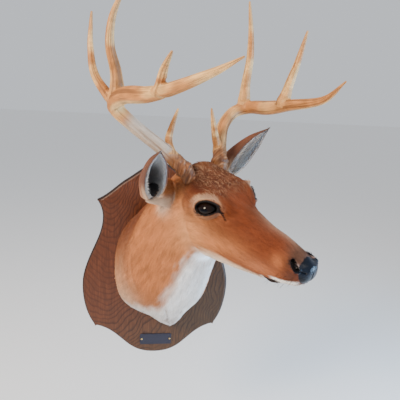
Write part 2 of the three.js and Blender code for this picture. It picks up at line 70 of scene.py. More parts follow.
forward, right, up = camera_axes(*np.radians(CAMERA_TURN))
lens = bpy.data.cameras.new("viewpoint")
lens.sensor_width = SENSOR_WIDTH
lens.lens = SENSOR_WIDTH * FOCAL / WIDTH
viewpoint = bpy.data.objects.new("viewpoint", lens)
bpy.context.scene.collection.objects.link(viewpoint)
turn = np.eye(4)
turn[:3, 0], turn[:3, 1], turn[:3, 2] = right, up, -forward
turn[:3, 3] = CAMERA_AT * MM
viewpoint.matrix_world = Matrix(turn.tolist())
bpy.context.scene.camera = viewpoint
print("camera at", turn[:3, 3], "lens", round(lens.lens, 1))

# %% [markdown]
# ## Shader maths
#
# A material is a graph of nodes. Reading it is easier when sums look like sums, so `Signal`
# wraps a node's output and turns +, -, * and / into Math nodes. `Finish` starts a material with
# a Principled surface and adds any other node by its type, settings and inputs.

# %% Signals and finishes
def connect(tree, slot, value):
    """Put a signal, a number or a list of numbers on an input."""
    if isinstance(value, Signal):
        tree.links.new(value.socket, slot)
    else:
        slot.default_value = value


class Signal:
    """One output of a node; arithmetic on it adds Math nodes."""

    def __init__(self, tree, socket):
        self.tree, self.socket = tree, socket

    def math(self, operation, *values):
        """One Math node; values are signals or numbers."""
        node = self.tree.nodes.new("ShaderNodeMath")
        node.operation = operation
        for slot, value in zip(node.inputs, values):
            connect(self.tree, slot, value)
        return Signal(self.tree, node.outputs[0])

    def __add__(self, other): return self.math("ADD", self, other)
    def __radd__(self, other): return self.math("ADD", other, self)
    def __sub__(self, other): return self.math("SUBTRACT", self, other)
    def __rsub__(self, other): return self.math("SUBTRACT", other, self)
    def __mul__(self, other): return self.math("MULTIPLY", self, other)
    def __truediv__(self, other): return self.math("DIVIDE", self, other)
    def fract(self): return self.math("FRACT", self)
    def root(self): return self.math("SQRT", self)


class Finish:
    """A material whose Principled surface takes constants and signals by socket name."""

    def __init__(self, name, **constants):
        self.material = bpy.data.materials.new(name)
        self.material.use_nodes = True
        self.tree = self.material.node_tree
        self.surface = self.tree.nodes["Principled BSDF"]
        for key, value in constants.items():
            self.surface.inputs[key.replace("_", " ")].default_value = value

    def add(self, kind, settings=None, inputs=None, output=0):
        """A node of a kind, with its settings and inputs; gives one of its outputs."""
        node = self.tree.nodes.new("ShaderNode" + kind)
        for key, value in (settings or {}).items():
            setattr(node, key, value)
        for key, value in (inputs or {}).items():
            slot = next(s for s in node.inputs if key in (s.identifier, s.name) and s.enabled)
            connect(self.tree, slot, value)
        return Signal(self.tree, node.outputs[output])

    def coords(self):
        """Object coordinates, in metres."""
        return self.add("TexCoord", output=3)

    def layer(self, name):
        """A colour or number that rides on the mesh."""
        return self.add("Attribute", {"attribute_name": name})

    def stretch(self, coords, scale):
        """Coordinates scaled along each axis."""
        return self.add("Mapping", {}, {"Vector": coords, "Scale": scale})

    def noise(self, coords, scale, detail=3.0, rough=0.55):
        """Soft noise from 0 to 1; scale is the number of lumps in a unit."""
        return self.add("TexNoise", {}, {"Vector": coords, "Scale": scale, "Detail": detail,
                                         "Roughness": rough})

    def split(self, coords):
        """The x, y and z of coordinates."""
        node = self.tree.nodes.new("ShaderNodeSeparateXYZ")
        connect(self.tree, node.inputs[0], coords)
        return [Signal(self.tree, out) for out in node.outputs]

    def ease(self, value, low, high):
        """0 below low, 1 above high, and a smooth step between them."""
        return self.add("MapRange", {"interpolation_type": "SMOOTHSTEP"},
                        {"Value": value, "From Min": low, "From Max": high})

    def blend(self, share, first, second, how="MIX"):
        """The first colour turning into the second by share, or into their product."""
        return self.add("Mix", {"data_type": "RGBA", "blend_type": how},
                        {"Factor_Float": share, "A_Color": first, "B_Color": second}, output=2)

    def grey(self, value, low, high):
        """A grey that runs from low to high as the value runs from 0 to 1."""
        level = value * (high - low) + low
        return self.add("CombineColor", {}, {"Red": level, "Green": level, "Blue": level})

    def bump(self, height, distance, strength):
        """A normal tipped by the slope of a height; distance is its full rise in metres."""
        return self.add("Bump", {}, {"Height": height, "Distance": distance, "Strength": strength})

    def feed(self, **signals):
        """Put signals on the surface, and give the finished material."""
        for key, value in signals.items():
            connect(self.tree, self.surface.inputs[key.replace("_", " ")], value)
        return self.material


# %% [markdown]
# ## Meshes from arrays
#
# Every new piece is a set of numpy arrays: points, faces, and the layers that ride on them, such
# as a colour for each point. One helper puts them into a mesh, so the sections below can be
# about shape alone. Another makes the faces of a grid whose rows close on themselves, and a few
# short ones take up what nearly every piece needs.

# %% Mesh helpers
SHARP = np.radians(34)          # edges bent more than this stay sharp


def corners_of(faces):
    """Point number of every face corner, in order."""
    return np.concatenate([group.ravel() for group in faces])


def rgba(tone):
    """Colours of points with an alpha of 1."""
    return np.column_stack([tone, np.ones(len(tone))])


def grid(rows, columns):
    """The row's and the column's value at each place of a grid."""
    return np.meshgrid(rows, columns, indexing="ij")


def run_length(points):
    """Length along a chain of points, from 0 at the first."""
    return np.concatenate([[0], np.cumsum(np.linalg.norm(np.diff(points, axis=0), axis=1))])


def piece(name, points, faces, material, layers=None, replaces=(), smooth=True, link=True):
    """Mesh object from points in millimetres and faces (one array for each number of sides)."""
    groups = faces if isinstance(faces, list) else [faces]
    corners = corners_of(groups).astype(np.int32)
    sides = np.concatenate([np.full(len(group), group.shape[1]) for group in groups])
    mesh = bpy.data.meshes.new(name)
    mesh.vertices.add(len(points))
    mesh.vertices.foreach_set("co", (points * MM).astype(np.float32).ravel())
    mesh.loops.add(len(corners))
    mesh.loops.foreach_set("vertex_index", corners)
    mesh.polygons.add(len(sides))
    starts = np.concatenate([[0], np.cumsum(sides)[:-1]])
    mesh.polygons.foreach_set("loop_start", starts.astype(np.int32))
    for key, values in (layers or {}).items():
        add_layer(mesh, key, values)
    mesh.update()
    mesh.validate()
    mesh.polygons.foreach_set("use_smooth", np.full(len(mesh.polygons), smooth))
    made = bpy.data.objects.new(name, mesh)
    mesh.materials.append(material)
    bpy.context.scene.collection.objects.link(made)
    if link:
        settle(made, replaces)
    return made


def add_layer(mesh, key, values):
    """A colour (4 columns) or number for each point, or a UV map (2 columns) for each corner."""
    flat = values.astype(np.float32).ravel()
    if values.ndim == 2 and values.shape[1] == 2:
        mesh.uv_layers.new(name=key).data.foreach_set("uv", flat)
    elif values.ndim == 2:
        mesh.attributes.new(key, "FLOAT_COLOR", "POINT").data.foreach_set("color", flat)
    else:
        mesh.attributes.new(key, "FLOAT", "POINT").data.foreach_set("value", flat)


def settle(made, replaces=()):
    """The piece rides on the mount and hides the solids it stands for."""
    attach(made, "root")
    if replaces:
        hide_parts(*replaces)
    made.data.calc_loop_triangles()
    points, triangles = len(made.data.vertices), len(made.data.loop_triangles)
    print(f"{made.name}: {points} points, {triangles} triangles")


def tube_faces(rows, around, close=True):
    """Quads of a grid of closed rings, with a fan to one more point at each end if close."""
    r, k = grid(np.arange(rows - 1), np.arange(around))
    here, beside = r * around + k, r * around + (k + 1) % around
    quads = np.stack([here, beside, beside + around, here + around], -1).reshape(-1, 4)
    if not close:
        return [quads]
    k = np.arange(around)
    after = (k + 1) % around
    last = (rows - 1) * around
    first_fan = np.stack([np.full(around, rows * around), after, k], -1)
    last_fan = np.stack([np.full(around, rows * around + 1), last + k, last + after], -1)
    return [quads, np.concatenate([first_fan, last_fan])]


def unit(vectors):
    """Vectors of length 1 in the same directions."""
    return vectors / np.maximum(np.linalg.norm(vectors, axis=-1, keepdims=True), 1e-9)


def ease(value, low, high):
    """Smooth step: 0 at low, 1 at high, flat at both ends."""
    x = np.clip((value - low) / (high - low), 0, 1)
    return x * x * (3 - 2 * x)


def catmull(rows, t):
    """Smooth curve through rows of numbers: t is 0 at the first row, 1 at the second, and so on."""
    rows = np.asarray(rows, float)
    rows = rows.reshape(len(rows), -1)
    last = len(rows) - 1
    i = np.clip(np.floor(t).astype(int), 0, last - 1)
    f = (t - i)[..., None]
    p1, p2 = rows[i], rows[i + 1]
    p0 = np.where((i > 0)[..., None], rows[np.maximum(i - 1, 0)], 2 * p1 - p2)
    p3 = np.where((i < last - 1)[..., None], rows[np.minimum(i + 2, last)], 2 * p2 - p1)
    return 0.5 * (2 * p1 + (p2 - p0) * f + (2 * p0 - 5 * p1 + 4 * p2 - p3) * f ** 2
                  + (3 * p1 - p0 - 3 * p2 + p3) * f ** 3)


def patches(x, y, seed=0):
    """Soft random values from 0 to 1: random numbers on a square lattice, smoothly blended.
    The lattice's numbers come from multiplying and shifting whole numbers, so they never change."""
    i, j = np.floor(x).astype(int), np.floor(y).astype(int)
    fx, fy = ease(x - i, 0, 1), ease(y - j, 0, 1)

    def lattice(a, b):
        """Scrambled whole numbers a and b, as a number from 0 to 1."""
        n = (a * 374761393 + b * 668265263 + seed * 974711) & 0x7FFFFFFF
        n = ((n ^ (n >> 13)) * 1274126177) & 0x7FFFFFFF
        return ((n ^ (n >> 16)) & 0xFFFF) / 65535

    low = lattice(i, j) * (1 - fx) + lattice(i + 1, j) * fx
    high = lattice(i, j + 1) * (1 - fx) + lattice(i + 1, j + 1) * fx
    return low * (1 - fy) + high * fy


# %% [markdown]
# ## The body as one swept surface
#
# The neck and the head of a mount are one hide over a form. It is drawn here as one surface:
# sections from the nose to the wall, each with a top, a bottom, a half width and the roundness
# of its upper and lower halves. The head's sections are given in the head's own frame: x to the
# nose, y to the deer's left, z to the crown. Low bumps and hollows are laid over the sweep for
# brows, cheeks and the bridge.

# %% The head's frame
HEAD_AT = np.array([117.0, -285.0, 195.0])


def rotation(roll, nod, yaw):
    """Turn about x by roll, then about y by nod, then about z by yaw."""
    (cr, cn, cy), (sr, sn, sy) = np.cos([roll, nod, yaw]), np.sin([roll, nod, yaw])
    about_x = np.array([[1, 0, 0], [0, cr, -sr], [0, sr, cr]])
    about_y = np.array([[cn, 0, sn], [0, 1, 0], [-sn, 0, cn]])
    about_z = np.array([[cy, -sy, 0], [sy, cy, 0], [0, 0, 1]])
    return about_z @ about_y @ about_x


HEAD_TURN = rotation(*np.radians([8, 5.4, -57]))


def from_head(points):
    """World places of places in the head's frame."""
    return HEAD_AT + np.asarray(points, float) @ HEAD_TURN.T


def to_head(points):
    """Places in the head's frame of world places."""
    return (points - HEAD_AT) @ HEAD_TURN


print("nose is near", np.round(from_head([168, 0, 24])))

# %% Sections from nose to wall
# head: top x, z; bottom x, z; half width; widest level; roundness above, below; pinch above, below
HEAD_SECTIONS = [
    [168, 30, 168, 17, 9, 0.5, 2, 2, 0, 0],
    [161.5, 38, 162, 3, 18.5, 0.5, 2.1, 2.1, 0, 0],
    [153, 43, 153, -9, 25, 0.48, 2.1, 2.1, 0.05, 0.08],
    [140, 49, 140, -16, 28.5, 0.46, 2, 2.1, 0.12, 0.16],
    [116, 58, 116, -22, 29.5, 0.46, 1.95, 2.1, 0.2, 0.24],
    [90, 66, 90, -28, 32, 0.47, 1.9, 2.1, 0.24, 0.3],
    [62, 76, 62, -34, 37, 0.5, 1.9, 2.1, 0.24, 0.34],
    [34, 86, 34, -39, 45, 0.58, 2, 2.1, 0.18, 0.36],
    [6, 97, 8, -43, 54, 0.7, 2.2, 2, 0.1, 0.34],
    [-22, 109, -16, -46, 60, 0.74, 2.3, 2, 0.04, 0.3],
    [-52, 119, -38, -48, 61, 0.68, 2.2, 2, 0.03, 0.22],
    [-82, 126, -56, -51, 60, 0.58, 2.1, 2, 0.03, 0.12],
]
# neck: top x, y, z; bottom x, y, z; half width to the deer's right and left; level; roundness
NECK_SECTIONS = [
    [44, -188, 310, 82.5, -229.5, 128, 66, 62, 0.5, 2.1, 2.1],
    [32, -146, 275, 74, -209, 82, 80, 62, 0.48, 2.1, 2.1],
    [20, -105, 251, 56, -179, 20, 95, 72, 0.43, 2.1, 2.1],
    [12, -64, 227, 46, -136, -29, 108, 80, 0.41, 2.1, 1.9],
    [7, -32, 206, 41, -81, -74, 118, 87, 0.435, 2.1, 1.65],
    [5, -18.3, 199, 38, -18.3, -113, 122, 90, 0.5, 2.1, 1.4],
]


def all_sections():
    """Rows of top, bottom, side vector, half widths, level, roundness and pinch."""
    side = HEAD_TURN[:, 1]
    rows = [[*from_head([a, 0, b]), *from_head([c, 0, d]), *side, half, half, *rest]
            for a, b, c, d, half, *rest in HEAD_SECTIONS]
    for i, section in enumerate(NECK_SECTIONS):
        square = (i + 1) / len(NECK_SECTIONS)
        across = unit(side * (1 - square) + np.array([1.0, 0, 0]) * square)
        rows.append([*section[:6], *across, *section[6:], 0, 0])
    return np.array(rows)


SECTIONS = all_sections()
LAST = len(SECTIONS) - 1
print("sections", SECTIONS.shape)

# %% Bumps and hollows
# at and reach in the head's frame, on both sides, and height
RELIEFS = np.array([
    [-12, 54, 89, 17, 14, 7, 5],            # brow ridge
    [-40, 60, 73, 9, 12, 14, 3],            # back of the orbit
    [-7, 55, 70, 16, 14, 11, -9],           # eye hollow
    [19, 46, 58, 10, 12, 9, -3.5],          # tear pit
    [0, 54, 40, 28, 14, 8, 3.5],            # cheekbone
    [-30, 48, 0, 26, 18, 22, 3],            # jaw muscle
    [70, 30, 44, 28, 12, 12, -2.5],         # side of the bridge
    [138, 28, 16, 14, 12, 13, 2.5],         # whisker pad
    [157, 22, 34, 8, 8, 8, 2.5],            # nostril wing
    [30, 0, 88, 24, 12, 12, -2.5],          # dip of the forehead
    [36, 30, 70, 23, 11, 10, -8],           # flank of the bridge
    [82, 19, 63, 24, 11, 9, -3.5],          # edge of the bridge
])
# angle, its reach in degrees, height along the wall, and the stations where it sets in
FLARES = np.array([
    [205, 17, 9, 14.8, 16.4],               # haunch
    [236, 12, -6, 14.8, 16.2],              # right of the brisket
    [300, 16, -17, 13.9, 15.2],             # left of the brisket
])


def folded(p):
    """Places of the head's frame with both sides laid on the deer's left."""
    return np.stack([p[..., 0], np.abs(p[..., 1]), p[..., 2]], -1)


def mirrored(place, side):
    """A place or direction of the deer's left on one side: 1 is left, -1 right."""
    return np.array(place) * [1, side, 1]


def spot(p, at, reach):
    """Bell of height 1 at a place of the head's frame, mirrored to both sides."""
    away = (folded(p) - np.array(at, float)) / np.array(reach, float)
    return np.exp(-0.5 * (away ** 2).sum(-1))


def sweep(t, phi):
    """Superellipse section at station t; phi is 0 at the deer's left, 90 degrees at the top."""
    q = catmull(SECTIONS, t)
    top, bottom, side = q[..., :3], q[..., 3:6], q[..., 6:9]
    height = np.linalg.norm(top - bottom, axis=-1, keepdims=True)
    rise = (top - bottom) / height
    side = unit(side - rise * (side * rise).sum(-1, keepdims=True))
    right_half, left_half, level, above, below, pinch_above, pinch_below = \
        np.moveaxis(q[..., 9:], -1, 0)
    c, s = np.cos(phi), np.sin(phi)
    power = np.where(s > 0, above, below)
    pinch = np.where(s > 0, pinch_above, pinch_below)
    half = np.where(c > 0, left_half, right_half)
    out = half * np.sign(c) * np.abs(c) ** (2 / power) * (1 - pinch * s * s)
    lift = np.abs(s) ** (2 / power)
    share = np.where(s > 0, level + (1 - level) * lift, level - level * lift)
    return bottom + rise * height * share[..., None] + side * out[..., None]


def envelope(t, phi, lift=0.0):
    """Point and outward normal of the coat's outer surface, moved out by lift."""
    p = sweep(t, phi)
    inner = np.clip(t, 0.02, LAST - 0.02)
    along = sweep(inner + 0.02, phi) - sweep(inner - 0.02, phi)
    around = sweep(inner, phi + 0.02) - sweep(inner, phi - 0.02)
    normal = unit(np.cross(along, around))
    h = to_head(p)
    bumps = sum(row[6] * spot(h, row[:3], row[3:6]) for row in RELIEFS)
    angle = np.degrees(phi) % 360
    flare = sum(height * np.exp(-((angle - at) / reach) ** 2) * ease(t, start, full)
                for at, reach, height, start, full in FLARES)
    outward_flat = unit(normal * [1, 0, 1])
    return p + normal * (bumps + lift)[..., None] + outward_flat * flare[..., None], normal


# %% [markdown]
# ## Finer forms of the face
#
# What makes a face alive is small: lids that ride over the glass eye and end in a dark rim, the
# tear slit in front of it, comma-shaped nostrils, and a closed mouth whose upper lip hangs over
# the lower one. Each is a change to the swept skin, worked out from the distance to a short line
# or from the place on the plane of the eye.

# %% The eye's own plane
EYE_AT = np.array([-12.0, 44.0, 71.0])
EYE_RADII = np.array([18.0, 15.0, 15.5])        # along the lids, up, and out
LID_CENTRE = (2.0, 2.6)
LID_REACH = dict(back=19.5, front=20.0, top=11.2, bottom=9.6)


def eye_axes(side):
    """Unit vectors of one eye: forward along the lids, up, and out of the socket."""
    out = unit(np.array([0.389, 0.906, 0.164]))
    ahead = np.array([0.906, -0.408, 0.106])
    ahead = unit(ahead - out * (ahead @ out))
    rise = np.cross(ahead, out)
    rise = rise if rise[2] > 0 else -rise
    return [mirrored(vector, side) for vector in (ahead, rise, out)]


def to_eye(p, side):
    """Places of the head's frame in one eye's axes: along the lids, up, and out."""
    ahead, rise, out = eye_axes(side)
    q = p - mirrored(EYE_AT, side)
    return q @ ahead, q @ rise, q @ out


def from_eye(local, side):
    """Places of the head's frame of places in one eye's axes."""
    return mirrored(EYE_AT, side) + local @ np.stack(eye_axes(side))


def lid_polar(a, b):
    """How far out of the lid opening a place is: 1 on its rim, and the rim's distance there."""
    x, y = a - LID_CENTRE[0], b - LID_CENTRE[1]
    r, turn = np.hypot(x, y), np.arctan2(y, x)
    c, s = np.cos(turn), np.sin(turn)
    half = np.where(c > 0, LID_REACH["front"], LID_REACH["back"])
    tall = np.where(s > 0, LID_REACH["top"], LID_REACH["bottom"])
    rim = (np.abs(c / half) ** 1.75 + np.abs(s / tall) ** 1.75) ** (-1 / 1.75)
    return r / rim, rim, turn


def lid_height(a, b):
    """Height of the lids over the eye's centre: a ball a little larger than the eye."""
    grown = EYE_RADII + [6.0, 4.2, 1.7]
    return grown[2] * np.sqrt(np.maximum(1 - (a / grown[0]) ** 2 - (b / grown[1]) ** 2, 0.0))


def shape_lids(p, side):
    """Skin near one eye: attracted to the rim, lifted over the ball, sunk inside the opening."""
    ahead, rise, out = eye_axes(side)
    a, b, c = to_eye(p, side)
    rho, rim, turn = lid_polar(a, b)
    near = (c > -9) & (rho < 3)
    gap = rho - 1
    pulled = 1 + gap * (1 - 0.75 * np.exp(-(gap / 0.07) ** 2))
    a2 = LID_CENTRE[0] + pulled * rim * np.cos(turn)
    b2 = LID_CENTRE[1] + pulled * rim * np.sin(turn)
    lid = lid_height(a2, b2)
    fold = 0.9 * np.exp(-((pulled - 1.42) / 0.09) ** 2) * ease(np.sin(turn), -0.1, 0.5)
    lid = lid - fold
    k = 2.2
    outside = np.maximum(c, lid) + 0.25 * k * np.maximum(1 - np.abs(c - lid) / k, 0) ** 2
    inside = lid - 1.6 - 6.5 * ease(1 - pulled, 0.0, 0.16)
    height = np.where(pulled > 1, outside, np.minimum(inside, c))
    swell = 4.0 * np.exp(-(((rho - 1) * rim - 8.0) / 4.6) ** 2)         # the orbit's front rim
    swell = swell * ease(np.cos(turn - 1.1), -0.1, 0.7)
    height = height + swell * (pulled > 1)
    share = ease(3 - rho, 0, 1.2)
    moved = p + (a2 - a)[..., None] * ahead + (b2 - b)[..., None] * rise \
        + ((height - c) * share)[..., None] * out
    return np.where(near[..., None], moved, p)


# %% Lines on the face: tear slit, nostril and mouth
TEAR = [[10.8, 38.8, 75.3], [15.8, 36.3, 69.0], [22.0, 36.5, 60.5]]
NOSTRIL = [[145.0, 20.5, 38.0], [150.5, 23.8, 33.0], [156.5, 23.5, 27.0]]
SLIT = [[156.5, 23.5, 27.0], [162.3, 19.3, 24.0], [165.8, 13.5, 21.5]]
WING = [[150.0, 20.0, 40.5], [156.5, 20.8, 33.0], [163.0, 16.0, 28.0]]
LIP_LINE = np.array([[163, 1.5], [157, 0], [150, -1.5], [140, -4.5], [130, -8], [118, -11.2],
                     [108, -12.6], [97, -13.6], [89, -13.6]])


def line_distance(p, line):
    """Distance to a bent line of the head's frame (both sides), and the share along it."""
    q, line = folded(p), np.array(line, float)
    best, share = np.full(q.shape[:-1], 1e9), np.zeros(q.shape[:-1])
    for i, (start, end) in enumerate(zip(line[:-1], line[1:])):
        along = end - start
        f = np.clip(((q - start) @ along) / (along @ along), 0, 1)
        d = np.linalg.norm(q - start - f[..., None] * along, axis=-1)
        share = np.where(d < best, (i + f) / (len(line) - 1), share)
        best = np.minimum(best, d)
    return best, share


def lip_gap(p):
    """How far a place is above the line of the closed mouth, and 1 where there is a mouth."""
    level = np.interp(p[..., 0], LIP_LINE[::-1, 0], LIP_LINE[::-1, 1])
    return p[..., 2] - level, ease(p[..., 0], 84, 92)


def face_details(p):
    """Offset along the normal for slits, nostrils, lips and the grooves of the muzzle."""
    tear, _ = line_distance(p, TEAR)
    hole, share = line_distance(p, NOSTRIL)
    slit, along = line_distance(p, SLIT)
    width = 3.7 - 0.9 * share
    offset = -3.4 * np.exp(-(tear / 1.9) ** 2) + 0.8 * np.exp(-((tear - 4) / 1.6) ** 2)
    offset = offset - 8.0 * ease(width + 0.9 - hole, 0, 1.8)
    offset = offset + 1.3 * np.exp(-((hole - width - 2.2) / 1.4) ** 2) * ease(37 - p[..., 2], -1, 4)
    offset = offset - 2.8 * np.exp(-(slit / (1.5 - 0.5 * along)) ** 2)
    gap, mouth = lip_gap(p)
    offset = offset - mouth * 2.4 * np.exp(-(gap / 1.1) ** 2)
    offset = offset - mouth * 1.8 * ease(-gap, 0.5, 3.0) * (1 - 0.5 * ease(-gap, 6, 14))
    offset = offset + 4.6 * spot(p, [106, 13, -20], [11, 8, 6])
    y, z = np.abs(p[..., 1]), p[..., 2]
    slope = np.exp(-((y - 16.0) / 8.0) ** 2) * ease(z, 28, 37) * ease(p[..., 0], 104, 142)
    offset = offset - 4.4 * slope
    offset = offset - 2.4 * spot(p, [162, 6, 38], [9, 12, 8])
    offset = offset + 2.2 * spot(p, [163, 7, 9], [7, 10, 7])
    philtrum = np.exp(-(p[..., 1] / 0.9) ** 2) * ease(p[..., 0], 158, 163)
    philtrum = philtrum * ease(24 - p[..., 2], 0, 8)
    return offset - 1.2 * philtrum


COAT_DEPTH = [[0, 0.3], [2.2, 0.8], [4, 1.3], [8, 1.8], [10, 2.6], [11.5, 3.4], [13, 5.5],
              [16, 6.0], [17, 5.0]]                                  # station, depth
NECK_FOLD = [[138, 13.34], [148, 13.71], [154, 13.97], [168, 14.23], [181, 14.39]]  # angle, station


def shape_skin(t, phi):
    """The skin: the envelope, drawn in by the coat's depth, with the finer forms of the face."""
    depth = np.interp(t, *np.transpose(COAT_DEPTH))
    crown = np.exp(-((t - 9.9) / 0.9) ** 2) * np.exp(-((phi - np.pi / 2) / 0.6) ** 2)
    p, _ = envelope(t, phi, -depth - 2.0 * crown)
    plain = h = to_head(p)
    _, normal = envelope(t, phi)
    aside = np.degrees(phi) % 360
    crease = t - np.interp(aside, *np.transpose(NECK_FOLD))
    fold = 1.5 * np.exp(-((crease + 0.20) / 0.17) ** 2) - 1.9 * np.exp(-(crease / 0.11) ** 2)
    p = p + normal * (fold * ease(aside, 128, 142) * ease(205 - aside, 0, 20))[..., None]
    p = p + normal * (face_details(h) * ease(8.5 - t, 0, 1))[..., None]
    h = to_head(p)
    for side in (-1, 1):
        h = shape_lids(h, side)
    return from_head(h), plain


# %% The grid of the skin
def crowd(low, high, count, spots, closed=False):
    """count numbers from low to high, closer together near each (place, reach, gain)."""
    fine = np.linspace(low, high, 4001)
    density = 1 + sum(gain * np.exp(-((fine - place) / reach) ** 2) for place, reach, gain in spots)
    total = np.concatenate([[0], np.cumsum((density[1:] + density[:-1]) / 2)])
    picks = np.linspace(0, total[-1], count + closed)[:count]
    return np.interp(picks, total, fine)


deg = np.pi / 180
ROWS_T = crowd(0, LAST, 345, [(8.35, 0.75, 2.1), (1.8, 1.6, 0.35), (5.0, 1.0, 0.15)])
ROWS_PHI = crowd(-90 * deg, 270 * deg, 240,
                 [(157 * deg, 24 * deg, 1.9), (23 * deg, 24 * deg, 1.9),
                  (215 * deg, 14 * deg, 0.5), (-35 * deg, 14 * deg, 0.5)], closed=True)
grid_t, grid_phi = grid(ROWS_T, ROWS_PHI)
skin_grid, grid_plain = shape_skin(grid_t, grid_phi)
print("skin grid", skin_grid.shape, "largest step",
      round(np.linalg.norm(np.diff(skin_grid, axis=0), axis=-1).max(), 1), "mm")

# %% [markdown]
# ## Ears
#
# An ear is a cupped leaf on a bent axis: at each level its section is a C that opens forward, up
# and out. The C swells and then runs to a point, and it opens wider towards the tip. A round
# butt carries it on the skull. Each shell is closed, with rounded rims, so that it can be joined
# to the head as a solid.

# %% Ear shell
EAR_BASE, EAR_ROOT = [-113, 86, 84], [-104, 46, 72]
EAR_TIPS = {-1: [-23, 125, 178], 1: [-48, 132, 171]}
EAR_FACING = [0.72, 0.31, 0.62]
EAR_RADII = [18, 20.8, 24, 21.9, 15.9, 2.2]         # at s = -0.25, 0, 0.25 ... 1
EAR_CUP = [150, 150, 132, 114, 100, 87]             # half angle of the C at the same places
BUTT_ROWS, BUTT_AROUND = 26, 40
BUTT_PROFILE = [[0, 0.0], [17, 0.02], [24, 0.2], [22.5, 0.5], [18.6, 0.9], [15.5, 1.1],
                [9, 1.24], [1.5, 1.3]]              # radius, share of the way from root to cup


def ear_axis(side, s):
    """Quadratic curve from base to tip that bows away from the opening, and its frame."""
    base, tip = mirrored(EAR_BASE, side), mirrored(EAR_TIPS[side], side)
    facing = unit(mirrored(EAR_FACING, side))
    middle = (base + tip) / 2 - 12.6 * facing
    s = np.asarray(s)[..., None]
    centre = (1 - s) ** 2 * base + 2 * s * (1 - s) * middle + s ** 2 * tip
    along = unit(2 * (1 - s) * (middle - base) + 2 * s * (tip - middle))
    opening = unit(facing - along * (along @ facing)[..., None])
    return centre, along, opening, np.cross(along, opening)


def ear_shell(side, rows, arc_count=34, rim_count=6):
    """Rings of the C: outer arc, rim, inner arc and rim, as points and each point's place."""
    half_rim = rim_count // 2
    turn = np.linspace(-1, 1, arc_count)
    rim = (np.arange(half_rim) + 0.5) / rim_count * np.pi
    # for each point of a ring: share of the cup angle, rim turn (0 outer .. pi inner)
    share = np.concatenate([-np.ones(half_rim), turn, np.ones(half_rim)])
    around = np.concatenate([rim[::-1], np.zeros(arc_count), rim])
    share = np.concatenate([share, share[::-1]])
    around = np.concatenate([around, np.pi - around[::-1]])
    s, share = grid(rows, share)
    around = np.broadcast_to(around, s.shape)
    centre, _, opening, across = ear_axis(side, s)
    radius = catmull(EAR_RADII, (s + 0.25) * 4)[..., 0] - 1.1
    wall = np.minimum(3.6 - 1.9 * s, 0.75 * radius)
    cup = np.radians(catmull(EAR_CUP, (s + 0.25) * 4)[..., 0])
    ripple = 0.5 * np.sin(9 * s + 2 * share) * (1 - np.abs(share)) * (around > 2)
    rho = radius - wall / 2 + wall / 2 * np.cos(around) + ripple
    bead = wall / 2 * np.sin(around) * np.sign(share)
    angle = share * cup + bead / np.maximum(radius, 3)
    p = centre + opening * (-rho * np.cos(angle))[..., None] \
        + across * (rho * np.sin(angle))[..., None]
    return p, s, share, around


def ear_faces(rows, n):
    """Quads between rings, and strips across the C at both ends."""
    quads = tube_faces(rows, n, close=False)[0]
    k = np.arange(n // 2 - 1)
    cap = np.stack([k, n - 1 - k, n - 2 - k, k + 1], -1)
    return [np.concatenate([quads, cap, cap[:, ::-1] + (rows - 1) * n])]


def ear_butt(side):
    """Tapered round from inside the skull to the cup's floor: a profile turned about a line."""
    root = mirrored(EAR_ROOT, side)
    foot = ear_axis(side, np.array(-0.12))[0]
    axis = foot - root
    profile = catmull(BUTT_PROFILE, np.linspace(0, len(BUTT_PROFILE) - 1, BUTT_ROWS))
    radius, share = np.maximum(profile[:, 0], 0.3), profile[:, 1]
    one = unit(np.cross(axis, [0.0, 0, 1]))
    two = unit(np.cross(axis, one))
    turn = np.linspace(0, 2 * np.pi, BUTT_AROUND, endpoint=False)
    ring = np.cos(turn)[:, None] * one + np.sin(turn)[:, None] * two
    p = root + axis * share[:, None, None] + ring * radius[:, None, None]
    return np.concatenate([p.reshape(-1, 3), [root + axis * profile[0, 1], root + axis * 1.305]])


def outward(points, faces):
    """The same faces, turned round if they enclose a negative volume."""
    total = 0
    for group in faces:
        for i in range(1, group.shape[1] - 1):
            a, b, c = points[group[:, 0]], points[group[:, i]], points[group[:, i + 1]]
            total += np.einsum("ij,ij->", a, np.cross(b, c))
    return faces if total > 0 else [group[:, ::-1] for group in faces]


# %% [markdown]
# ## Markings
#
# Skin and coat must agree in colour, so one function gives the colour of any place on the body
# from its place in the head's frame and its station, and another does so for the ears. Each
# marking is a soft mask over the colour below it, as an airbrush would lay it. A few masks are
# painted shade, painted highlights and a painted reflection instead of markings; each says so.

# %% Colours of the coat
def paint(base, colour, mask):
    """The base turning into the colour where the mask is 1."""
    return base * (1 - mask[..., None]) + np.array(colour, float) * mask[..., None]


def filled(colour, shape):
    """One colour at every place of a shape."""
    return np.broadcast_to(np.array(colour), shape).copy()


RUSSET, TAN, CREAM = (0.140, 0.032, 0.010), (0.45, 0.172, 0.064), (0.66, 0.46, 0.30)
WHITE, UMBER, BLACK = (0.80, 0.77, 0.74), (0.075, 0.026, 0.013), (0.012, 0.010, 0.011)
THROAT = [[9.5, 20], [10.8, 29], [11.8, 38], [12.7, 38], [13.5, 35], [13.9, 31], [14.3, 36],
          [14.7, 46], [15.6, 62], [17, 68]]             # station, half width of the white
# the line behind which the neck's side is painted darker, as shade behind the hide's fold: angle,
# station; the seam: station, angle
RIDGE = [[100, 13.3], [138, 13.4], [148, 13.7], [154, 13.95], [168, 14.2], [181, 14.5]]
SEAM = [[13.9, 245], [14.4, 252], [15.2, 258], [16, 262]]
